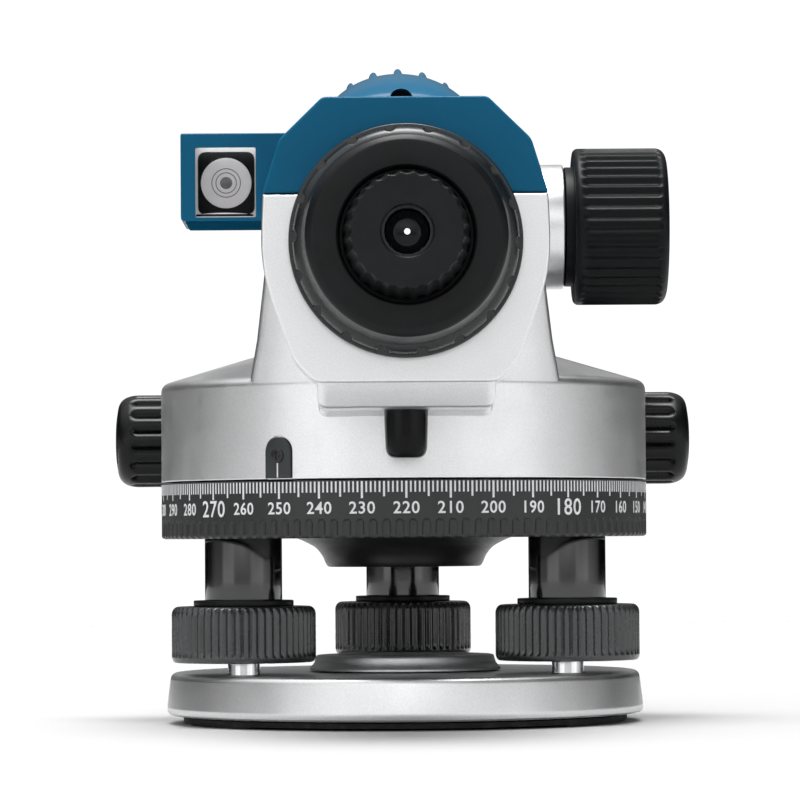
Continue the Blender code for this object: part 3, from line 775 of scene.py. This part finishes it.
def clipped_drum(width, radius, corner=1.2):
    points = []
    for side in (-1, 1):
        edge = math.asin(width / radius)
        for index in range(33):
            angle = edge * (index / 16 - 1)
            points.append((-side * radius * math.sin(angle), side * radius * math.cos(angle)))
    reach = [corner if index in (0, 32, 33, 65) else 0 for index in range(66)]
    return rounded(points, reach, 3)


def shared_bores():
    """Openings cut half in the housing and half in the cover: objective, focus boss, focus shaft."""
    return [cylinder_tool(19.0, 50, 70, "Y", SIGHT), cylinder_tool(14.1, 24.3, 45, "X", FOCUS, 64),
            cylinder_tool(SHAFT_BORE, 15, 30, "X", FOCUS)]


def make_housing():
    shoulder = 74.0                            # where the drum's wall turns into its conical top
    drum_profile = rounded([(0, DRUM_BOTTOM), (DRUM_R, DRUM_BOTTOM), (DRUM_R, shoulder), (33.8, 79.8),
                            (0, 79.8)], [0, 0.25, 1.8, 0, 0], 6)
    drum = turned("main_housing_casting", drum_profile, 192)
    stations = end_rounding(REAR_Y, 1, 0.6) + [(-50, 0), (54, 0)] + end_rounding(FRONT_Y, -1, 0.6)
    shell = loft("tool_shell", [at_y(silver_outline(71.8, inset), y) for y, inset in stations])
    chin_steps = [(REAR_Y + 0.9, 72.5), (REAR_Y + 4.5, 67.2), (REAR_Y + 5.5, 66.7), (-53.9, 66.6),
                  (-53.2, 65.6), (-50, 65.4), (-40, 65.4)]
    chin = loft("tool_chin", [at_y(chin_outline(bottom), y) for y, bottom in chin_steps])
    skirt_r = DRUM_R - 0.12
    skirt_steps = [(33.0, 71.5), (31.1, 82.0), (29.3, 97.0)]
    skirt = loft("tool_skirt", [at_z(clipped_drum(width, skirt_r), z) for width, z in skirt_steps])
    bosses = [cylinder_tool(7.0, low_x, high_x, "X", DRIVE, 61) for low_x, high_x in ((-52, -43), (43, 52))]
    removed = [cylinder_tool(49.5, DRUM_BOTTOM - 5, 71.8, steps=128),
               soft_box("tool_bay", (-21.5, -66, 82), (21.5, 58, 115), 0.8),
               cylinder_tool(6.3, -80, -60, "Y", SIGHT)]
    button_bore = [(0, 50), (4.85, 50), (4.85, 80), (2.4, 80), (2.4, 90), (0, 90)]
    removed += shared_bores() + [cylinder_tool(SHAFT_BORE, -60, 60, "X", DRIVE),
                                 turned("tool", button_bore, 48, "Z", BUTTON)]
    pocket = prism("tool", arched(3.3, 50, high("index_tab").z + 0.3), -60, -52.45, at_y)
    pocket.matrix_world = INDEX_TURN
    removed.append(pocket)
    settle(shaped(drum, [shell, chin, skirt] + bosses, removed), "main_housing")


def cover_outline(inset=0.0, bottom=None):
    base = SPLIT_Z + 0.1 if bottom is None else bottom
    half = [(COVER_HALF, base), (25.7, 121.3), (16.8, 130.0)]
    return rounded(inset_outline(mirrored(half), inset), [0.3, 1.0, 0.9, 0.9, 1.0, 0.3], 4)


def dome_sections():
    """Arched sections of the sight dome: a smooth front, grip ribs fore and aft behind the crest."""
    sections = []
    half_width, sink, shift = 14.8, 124.0, -0.8
    crown, foot, rib_height = DOME_TOP - 1.45, 130.0, 1.4
    rib_pitch, rib_half, rib_start = 15.2, 2.6, -13.0
    count = 61
    for index in range(count):
        along = index / (count - 1)
        y = -46 + 100 * along
        bulge = math.sqrt(max(0.0, 1 - ((along - 0.5) / 0.5) ** 2)) ** 0.9
        top = foot - 0.8 + (crown - foot + 0.8) * bulge
        rise = window(y, rib_start, 53, 6.0)
        points = [(half_width, sink)]
        for step in range(161):
            across = 1 - step / 80
            degrees = math.degrees(math.asin(across * 0.71))
            place = (degrees + rib_pitch * 2.5) % rib_pitch - rib_pitch / 2
            round_top = math.sqrt(max(0.0, 1 - (place / rib_half) ** 2))
            rib = rib_height * round_top * math.sqrt(rise) * (abs(degrees) < 38)
            arch = math.sqrt(1 - (across * 0.92) ** 2)
            points.append((half_width * across, foot - 1.2 + (top - foot + 1.2) * arch + rib))
        points.append((-half_width, sink))
        sections.append(at_y([(x + shift, z) for x, z in points], y))
    return sections


def make_cover():
    stations = end_rounding(REAR_Y, 1, 0.5) + [(-50, 0), (0, 0), (40, 0)] + end_rounding(FRONT_Y, -1, 0.5)
    cover = loft("top_cover_moulding", [at_y(cover_outline(inset), y) for y, inset in stations])
    dome = loft("tool_dome", dome_sections())
    inner = cover_outline(2.5, SPLIT_Z - 10)
    removed = [prism("tool", inner, REAR_Y + 3, FRONT_Y - 3, at_y),
               cylinder_tool(2.35, -60, 70, "Y", (-0.4, 0, 132.7), 32)]
    settle(shaped(cover, [dome], removed + shared_bores()), "top_cover")


def arched(half_width, bottom, top):
    """Outline of a tab with a half-round top."""
    points = [(-half_width, bottom), (half_width, bottom)]
    for step in range(25):
        angle = math.pi * step / 24
        points.append((half_width * math.cos(angle), top - half_width + half_width * math.sin(angle)))
    return points


def make_index():
    """Dark tab with a cross-head screw and a light index line above the graduation."""
    bottom, top = span("index_tab", "z")
    shape = arched(3.05, bottom, top)
    sections = [at_y(inset_outline(shape, inset), y) for y, inset in
                ((-53.75, 0.22), (-53.7, 0.08), (-53.55, 0), (-52.7, 0))]
    tab = loft("index_plate", sections)
    line = soft_box("index_line", (-0.16, -53.79, bottom + 0.1), (0.16, -53.7, bottom + 3.6), 0.03)
    head_z = middle("index_screw").z
    screw = [(0, -50.2), (0.9, -50.2), (0.9, -53.6), (1.55, -53.6), (1.5, -54.1), (0, -54.35)]
    head = turned("index_screw_head", rounded(screw, [0, 0.1, 0, 0.1, 0.35, 0], 4), 48, "Y", (0, 0, head_z))
    slots = [soft_box("tool", (-0.95, -54.6, head_z - 0.17), (0.95, -54.0, head_z + 0.17), 0.05),
             soft_box("tool", (-0.17, -54.6, head_z - 0.95), (0.17, -54.0, head_z + 0.95), 0.05)]
    shaped(head, removed=slots)
    for piece in (tab, line, head):
        piece.data.transform(INDEX_TURN)
    settle(tab, "index_tab")
    attach(line, "alidade", "dark_grey_paint", INK)
    settle(head, "index_screw")


# ---- telescope ----
def make_eyepiece():
    """Grip ring: a smooth rim at the back and a notched, domed ring in front of it."""
    count, notch_at, grip_r = 18, math.radians(18), 23.05
    back, front = span("eyepiece_flange", "y")[::-1]
    rim_r, step_y = high("eyepiece_flange").x, front + 3.7

    def bites(angle, radius, height):
        if height > step_y - 0.02 or radius < grip_r - 2.4:
            return radius
        pitch = 2 * math.pi / count
        offset = ((angle - notch_at + pitch / 2) % pitch - pitch / 2) * grip_r
        reach = math.sqrt(max(0.0, 1 - (offset / 1.15) ** 2))
        return min(radius, grip_r - 1.05 * reach)

    outline = [(6.3, back), (rim_r, back), (rim_r, step_y), (grip_r, step_y), (grip_r, front + 2.5),
               (22.4, front + 0.9), (20.9, front), (6.3, front)]
    profile = refine(rounded(outline, [0, 0.4, 0.5, 0, 0.9, 0.9, 0.5, 0], 6), 0.5)
    settle(turned("eyepiece_ring", profile, count * 40, "Y", SIGHT, bites), "eyepiece_flange",
           material=RING_BLACK)

    back, front = span("eyepiece_cap", "y")[::-1]
    outline = [(6.3, back), (21.4, back), (21.2, back - 1.5), (20.3, front + 1.5), (19.9, front + 0.9),
               (18.9, front + 0.1), (13.9, front), (13.5, front + 0.5), (13.5, front + 3.7),
               (6.3, front + 3.7)]
    profile = rounded(outline, [0, 0.2, 0.6, 0.3, 0.3, 0.4, 0.3, 0.3, 0.2, 0], 4)
    settle(turned("eyepiece_cone", profile, 144, "Y", SIGHT), "eyepiece_cap")
    make_diopter()


def make_diopter():
    """Fluted dioptre ring that tapers to a flat face round the eye lens."""
    count = 28

    def flutes(angle, radius, height):
        if radius < 10.9:
            return radius
        wave = abs(math.cos(count / 2 * angle))
        depth = 0.42 * window(height, front - 2.0, back - 0.6, 0.5)
        return radius - depth * wave ** 1.2

    back, front = span("diopter_ring", "y")[::-1]
    outline = [(6.2, back), (12.8, back), (12.75, front + 12.0), (11.95, front + 3.0), (11.45, front),
               (5.5, front + 0.05), (5.1, front + 0.45), (5.1, front + 3.1), (6.2, front + 3.1)]
    profile = refine(rounded(outline, [0, 0.3, 2.0, 2.0, 0.3, 0.2, 0.2, 0, 0], 5), 0.5)
    settle(turned("diopter_grip", profile, count * 12, "Y", SIGHT, flutes), "diopter_ring")

    lens_low = low("eye_lens").y
    glass = [(4.2 * step / 12, lens_low + 0.9 * (step / 12) ** 2) for step in range(13)]
    dark = polished("eye_glass", 6.0, 0.02, 0.05, Base_Color=(0.004, 0.005, 0.006), Specular_IOR_Level=0.2)
    settle(turned("eye_lens_glass", glass + [(4.2, lens_low + 2.8), (0, lens_low + 3.4)], 64, "Y", SIGHT),
           "eye_lens", material=dark)
    glow = Paint("exit_pupil_light", Base_Color=(0.8, 0.8, 0.82), Roughness=0.3, Emission_Strength=0.75)
    glow.link(glow.blend(glow.noise(0.5), (0.7, 0.7, 0.72), (0.95, 0.95, 0.95)), "Emission Color")
    pupil = [(0, lens_low - 0.03), (0.6, lens_low), (0.64, lens_low + 0.06), (0, lens_low + 0.06)]
    attach(turned("exit_pupil", pupil, 32, "Y", SIGHT), "eyepiece", "lens_glass", glow.material)


def make_objective():
    start, end = span("objective_barrel", "y")
    outline = [(17.0, start), (18.6, start), (18.6, 62.3), (26.5, 62.3), (26.5, 66.0), (22.8, 70.5),
               (22.8, 94.2), (24.2, 96.2), (24.2, end), (21.4, end), (21.4, 96.0), (17.0, 94.0)]
    reach = [0.2, 0.2, 0, 0.4, 0.8, 2.5, 1.2, 1.2, 0.7, 0.3, 0, 0]
    barrel = turned("objective_tube", refine(rounded(outline, reach, 5), 1.2), 160, "Y", SIGHT)
    settle(barrel, "objective_barrel")
    ring = rounded([(19.3, 102.6), (21.2, 102.6), (21.2, 105.6), (20.6, 105.6)], 0.15, 3)
    settle(turned("objective_retainer", ring, 128, "Y", SIGHT), "objective_ring")
    rear, front = [], []
    for step in range(13):
        radius = 20.8 * step / 12
        rear.append((radius, 97.0 + 1.6 * (step / 12) ** 2))
        front.append((radius, 103.2 - 2.2 * (step / 12) ** 2))
    settle(turned("objective_glass", rear + front[::-1], 96, "Y", SIGHT), "objective_lens")


def make_focus():
    start, end = span("focus_boss", "x")
    boss = rounded(rectangle((SHAFT_BORE, start), (13.8, end)), [0, 0.2, 0.5, 0], 4)
    settle(turned("focus_boss_turned", boss, 96, "X", FOCUS), "focus_boss")
    inner, outer = span("focus_knob", "x")
    knob_r, ribs = high("focus_knob").z - FOCUS.z, 42

    def grip(angle, radius, height):
        if radius < knob_r - 1.0:
            return radius
        return radius - groove(ribs, 0.75, angle, 0.7) * window(height, inner + 3.4, outer - 1.3, 1.1)

    outline = [(3.3, inner), (13.2, inner), (13.2, inner + 1.9), (knob_r - 0.6, inner + 1.9),
               (knob_r, inner + 2.6), (knob_r, outer - 1.3), (knob_r - 1.5, outer), (0, outer), (0, 54.3),
               (SHAFT_BORE, 54.3)]
    profile = refine(rounded(outline, [0, 0.2, 0, 0.4, 0.5, 1.1, 1.0, 0, 0, 0], 4), 0.5)
    settle(turned("focus_grip", profile, ribs * 12, "X", FOCUS, grip), "focus_knob", material=FOCUS_BLACK)


def make_drive_knobs():
    """Ribbed tangent-screw knobs whose ribs die out in a smooth domed end."""
    ribs, knob_r = 16, high("drive_knob_right").z - DRIVE.z
    end = high("drive_knob_right").x
    for name, side in (("left", -1), ("right", 1)):
        inner = 52.3

        def grip(angle, radius, height):
            if radius < knob_r - 2.6:
                return radius
            wave = 1 - abs(math.cos(ribs / 2 * angle))
            return radius - 1.15 * wave ** 1.2 * window(abs(height), inner - 5, end - 3.4, 1.4)

        outline = [(3.3, inner), (knob_r - 0.5, inner), (knob_r, inner + 0.5), (knob_r, end - 3.2),
                   (8.9, end - 0.7), (4.6, end), (0, end), (0, 61.3), (3.3, 61.3)]
        profile = refine(rounded(outline, [0, 0.3, 0.3, 1.8, 1.6, 1.2, 0, 0, 0], 5), 0.6)
        profile = [(radius, side * height) for radius, height in profile]
        knob = turned("drive_grip_" + name, profile, ribs * 24, "X", DRIVE, grip)
        settle(knob, "drive_knob_" + name, material=KNOB_BLACK)


def make_button():
    bottom, body_top, pin_top = low("lock_button").z, 73.5, high("lock_button").z
    outline = [(0, bottom), (4.2, bottom), (4.55, bottom + 8), (4.55, body_top), (2.0, body_top),
               (2.0, pin_top), (0, pin_top)]
    profile = rounded(outline, [0, 2.4, 3.0, 0.2, 0, 0.3, 0], 8)
    settle(turned("lock_button_pin", profile, 64, "Z", BUTTON), "lock_button", material=BUTTON_BLACK)


def make_spring():
    """Return spring over the button, a coil that is squeezed against the end of its bore."""
    bottom, top = span("button_spring", "z")
    wire_r, sides, turns, turn_steps, travel = 0.45, 12, 4, 30, 3.0
    coil_r, rise = high("button_spring").x - wire_r, top - bottom - 2 * wire_r
    centre = Vector((BUTTON.x, BUTTON.y, 0))
    sections = []
    for step in range(turns * turn_steps + 1):
        angle = 2 * math.pi * step / turn_steps
        height = bottom + wire_r + rise * step / (turns * turn_steps)
        section = []
        for side in range(sides):
            around = 2 * math.pi * side / sides
            radius, z = coil_r + wire_r * math.cos(around), height + wire_r * math.sin(around)
            section.append(centre + axis_point("Z", radius, angle, z))
        sections.append(section)
    spring = settle(loft("return_spring", sections), "button_spring")
    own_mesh(spring)


# ---- bubble ----
def carrier_outline(margin=0.0):
    base, top = low("vial_carrier") + NUDGE, high("vial_carrier") + NUDGE
    return rounded(rectangle(base, top, margin), 1.8, 5)


def make_bubble():
    """Window box with a leaning mirror over the circular bubble in its floor."""
    corner, opposite = low("bubble_housing"), high("bubble_housing")
    floor, vial = corner.z + 0.8, middle("circular_vial") + NUDGE
    box_top = opposite.z + 0.5
    side = [(corner.x, corner.z), (-29.7, corner.z), (-29.5, 110.6), (-26.15, 121.3), (opposite.x, box_top),
            (corner.x, box_top)]
    reach = [0.9, 0.2, 0.2, 0.2, 0.3, 0.5]
    stations = end_rounding(corner.y, 1, 0.4) + end_rounding(opposite.y, -1, 0.8)
    sections = [at_y(rounded(inset_outline(side, inset), reach), y) for y, inset in stations]
    housing = loft("bubble_case", sections)
    window_cut = soft_box("tool", (-43.8, -50, floor), (-31.1, -40, 122.5), 0.3)
    room = [(-44.2, floor), (-25.5, floor), (-41.1, 123.4), (-44.2, 123.4)]
    base, top = low("vial_carrier") + NUDGE, high("vial_carrier") + NUDGE
    removed = [window_cut, prism("tool", room, -44.9, -30.3, at_x),
               prism("tool", carrier_outline(0.3), corner.z - 1, floor + 0.5)]
    settle(shaped(housing, removed=removed), "bubble_housing")

    slab = [(-43.0, 122.9), (-28.2, 108.1), (-26.2, 108.1), (-41.0, 122.9)]
    settle(prism("mirror_plate", slab, -44.7, -30.5, at_x), "bubble_mirror")
    carrier = prism("vial_holder", carrier_outline(), base.z, top.z)
    shaped(carrier, removed=[cylinder_tool(5.45, base.z + 0.6, top.z + 2, origin=vial, steps=64)])
    settle(carrier, "vial_carrier")
    make_sill(corner, floor)
    make_underside(corner)
    make_vial(vial)


def make_sill(corner, floor):
    """Pale liner on the box floor round the bubble, seen in the mirror as a light border; its paint also
    glows faintly, as painted light.
    """
    outer = rectangle((-44.8, corner.y + 0.9), (-30.4, -28.4))
    sill = prism("bubble_sill", outer, floor + 0.02, floor + 0.2)
    shaped(sill, removed=[prism("tool", carrier_outline(0.02), floor - 1, floor + 1)])
    # The emission is painted light: the liner glows though it is no lamp.
    paint = mottled("sill_glow_paint", 1.5, 2.0, (0.68, 0.65, 0.65), (0.82, 0.79, 0.79), Roughness=0.5,
                    Emission_Color=(0.95, 0.9, 0.9), Emission_Strength=0.28)
    attach(sill, "alidade", "blue_paint", paint)


def make_underside(corner):
    """Matt closing plate under the bubble's box, in a darker blue that stands for painted shade on the
    underside.
    """
    outline = rounded(rectangle((corner.x + 1.0, corner.y + 0.5), (-29.8, -20.8)), 1.0, 4)
    plate = prism("bubble_base", outline, corner.z - 0.25, corner.z + 0.1)
    # Painted shade: this blue is darker than the cover's blue and stands for the shaded underside.
    paint = mottled("shaded_matt_blue", 3.0, 3.0, (0.0026, 0.044, 0.09), (0.0036, 0.058, 0.115),
                    Roughness=0.8, Specular_IOR_Level=0.0)
    attach(plate, "alidade", "blue_paint", paint)


def make_vial(vial):
    """Glass vial on a pale floor, with two fine rings and the bubble between them; the fill glows faintly as
    painted light.
    """
    bottom, top = span("circular_vial", "z")
    # Painted light: the fill glows a little though it is no lamp.
    fluid = mottled("vial_fluid_glow", 2.4, 3.0, (0.62, 0.6, 0.61), (0.78, 0.75, 0.76), Roughness=0.25,
                    Emission_Color=(0.95, 0.88, 0.9), Emission_Strength=0.3)
    disc = rounded([(0, bottom), (5.2, bottom), (5.2, top - 0.35), (5.4, top - 0.35), (5.4, top - 0.1),
                    (5.1, top), (0, top)], [0, 0, 0, 0, 0.1, 0.3, 0], 3)
    settle(turned("vial_capsule", disc, 72, origin=vial), "circular_vial", material=fluid)
    ink = mottled("vial_ring_ink", 0.8, 2.0, (0.14, 0.12, 0.125), (0.24, 0.21, 0.22), Roughness=0.4)
    for index, radius in enumerate((2.18, 3.05)):
        line = rectangle((radius - 0.09, top - 0.02), (radius + 0.09, top + 0.03))
        piece = turned(f"vial_ring_{index + 1}", line, 72, origin=vial)
        attach(piece, "alidade", "lens_glass", ink)
    grey = mottled("vial_bubble", 1.1, 2.0, (0.28, 0.26, 0.27), (0.45, 0.43, 0.44), Roughness=0.15)
    bubble = [(0, top - 0.02), (1.33, top - 0.02), (1.25, top + 0.06), (0.8, top + 0.12), (0, top + 0.14)]
    attach(turned("air_bubble", bubble, 48, origin=vial), "alidade", "lens_glass", grey)


# ---- stage ----
def make_floor():
    mesh = bmesh.new()
    mesh.faces.new([mesh.verts.new((x, y, 0)) for x, y in rectangle((0, 0), (0, 0), FLOOR_REACH)])
    floor = as_object("floor", mesh)
    floor.location.z = (cad_box[0].z / MM - 0.02) * MM
    paper = mottled("floor_paper", 40.0, 3.0, (0.49, 0.49, 0.49), (0.51, 0.51, 0.51), Roughness=0.9)
    floor.data.materials.append(paper)


def math_node(tree, operation, *operands):
    """Each operand is a number or another node's output."""
    node = tree.nodes.new("ShaderNodeMath")
    node.operation = operation
    for socket, value in zip(node.inputs, operands):
        if isinstance(value, (int, float)):
            socket.default_value = value
        else:
            tree.links.new(value, socket)
    return node.outputs[0]


def ramp(tree, source, stops):
    """Piecewise brightness: stops are (position from 0 to 1, brightness)."""
    node = tree.nodes.new("ShaderNodeFloatCurve")
    points = node.mapping.curves[0].points
    top = max(value for _, value in stops)
    for index, (position, value) in enumerate(stops):
        if index < 2:
            point = points[index]
            point.location = (position, value / top)
        else:
            point = points.new(position, value / top)
        point.handle_type = "VECTOR"
    node.mapping.update()
    tree.links.new(source, node.inputs["Value"])
    return math_node(tree, "MULTIPLY", node.outputs["Value"], top)


def bearing_of(tree, axes):
    """Bearing of a direction as 0..1: 0.5 is the camera's side, more is to its right."""
    backwards = math_node(tree, "MULTIPLY", axes.outputs["Y"], -1.0)
    turn = math_node(tree, "ARCTAN2", axes.outputs["X"], backwards)
    share = tree.nodes.new("ShaderNodeMapRange")
    share.inputs["From Min"].default_value = -math.pi
    share.inputs["From Max"].default_value = math.pi
    tree.links.new(turn, share.inputs["Value"])
    return share.outputs["Result"]


# Brightness of the tent by bearing: 0 is behind the camera, more is to its right.
LOW_BAND = [(-180, 0.0), (-140, 0.0), (-112, 0.03), (-88, 0.45), (-67, 0.5), (-59, 1.45), (-31, 1.45),
            (-23, 0.65), (0, 0.55), (20, 0.6), (27, 1.3), (59, 1.6), (67, 0.95), (88, 0.6), (112, 0.0),
            (140, 0.0), (180, 0.0)]
MIDDLE_BAND = [(-180, 0.3), (-140, 0.0), (-112, 0.0), (-88, 0.0), (-62, 0.26), (-40, 0.86), (-20, 1.55),
               (0, 1.9), (20, 1.25), (40, 0.4), (62, 0.36), (88, 0.0), (112, 0.0), (140, 0.0), (180, 0.3)]
HIGH_BAND = [(-180, 0.52), (-140, 0.5), (-112, 1.06), (-88, 1.25), (-62, 1.31), (-40, 1.15), (-20, 0.78),
             (0, 0.43), (20, 0.13), (40, 0.0), (62, 0.0), (88, 0.0), (112, 0.0), (140, 0.25), (180, 0.52)]
UPPER_BAND = [(-180, 1.3), (180, 1.3)]
OVERHEAD = [(-180, 20.0), (180, 20.0)]
# Elevation of each band's middle; below the horizon the lowest one goes on.
BANDS = [(0, LOW_BAND), (18, MIDDLE_BAND), (45, HIGH_BAND), (68, UPPER_BAND), (90, OVERHEAD)]


def make_world():
    """White to the camera; everything else sees a tent whose bands blend into each other upwards."""
    world = bpy.data.worlds.new("studio")
    world.use_nodes = True
    tree = world.node_tree
    axes = tree.nodes.new("ShaderNodeSeparateXYZ")
    tree.links.new(tree.nodes.new("ShaderNodeTexCoord").outputs["Generated"], axes.inputs[0])
    height = tree.nodes.new("ShaderNodeMapRange")
    height.inputs["From Min"].default_value = -1
    tree.links.new(axes.outputs["Z"], height.inputs["Value"])
    bearing = bearing_of(tree, axes)
    tent = None
    for elevation, values in BANDS:
        around = ramp(tree, bearing, [((turn + 180) / 360, value) for turn, value in values])
        stops = [(0.0, float(elevation == 0))]
        for other, _ in BANDS:
            stops.append(((math.sin(math.radians(other)) + 1) / 2, float(other == elevation)))
        band = math_node(tree, "MULTIPLY", around, ramp(tree, height.outputs["Result"], stops))
        tent = math_node(tree, "ADD", tent, band) if tent else band
    background = tree.nodes["Background"]
    background.inputs["Color"].default_value = (1, 1, 1, 1)
    tree.links.new(tent, background.inputs["Strength"])
    bright = tree.nodes.new("ShaderNodeBackground")
    bright.inputs["Color"].default_value = (BACKDROP, BACKDROP, BACKDROP, 1)
    path = tree.nodes.new("ShaderNodeLightPath")
    mix = tree.nodes.new("ShaderNodeMixShader")
    tree.links.new(path.outputs["Is Camera Ray"], mix.inputs["Fac"])
    tree.links.new(background.outputs[0], mix.inputs[1])
    tree.links.new(bright.outputs[0], mix.inputs[2])
    tree.links.new(mix.outputs[0], tree.nodes["World Output"].inputs["Surface"])
    bpy.context.scene.world = world


def make_camera():
    """Long lens just below the dial's height, looking at the eyepiece side almost level."""
    data = bpy.data.cameras.new("camera")
    data.lens, data.sensor_width = LENS, 36
    data.clip_start, data.clip_end = 0.05, 50
    camera = bpy.data.objects.new("camera", data)
    camera.location = CAMERA_SPOT * MM
    aim = CAMERA_AIM.normalized()
    camera.rotation_mode = "QUATERNION"
    roll = Matrix.Rotation(math.radians(CAMERA_ROLL), 4, aim).to_quaternion()
    camera.rotation_quaternion = roll @ aim.to_track_quat("-Z", "Y")
    bpy.context.scene.collection.objects.link(camera)
    bpy.context.scene.camera = camera
    bpy.context.scene.view_settings.view_transform = "Standard"


make_camera()
paint_frame()
make_base()
make_footscrews()
make_tribrach()
make_dial()
make_housing()
make_cover()
make_index()
make_eyepiece()
make_objective()
make_focus()
make_drive_knobs()
make_button()
make_spring()
make_bubble()
make_floor()
make_world()
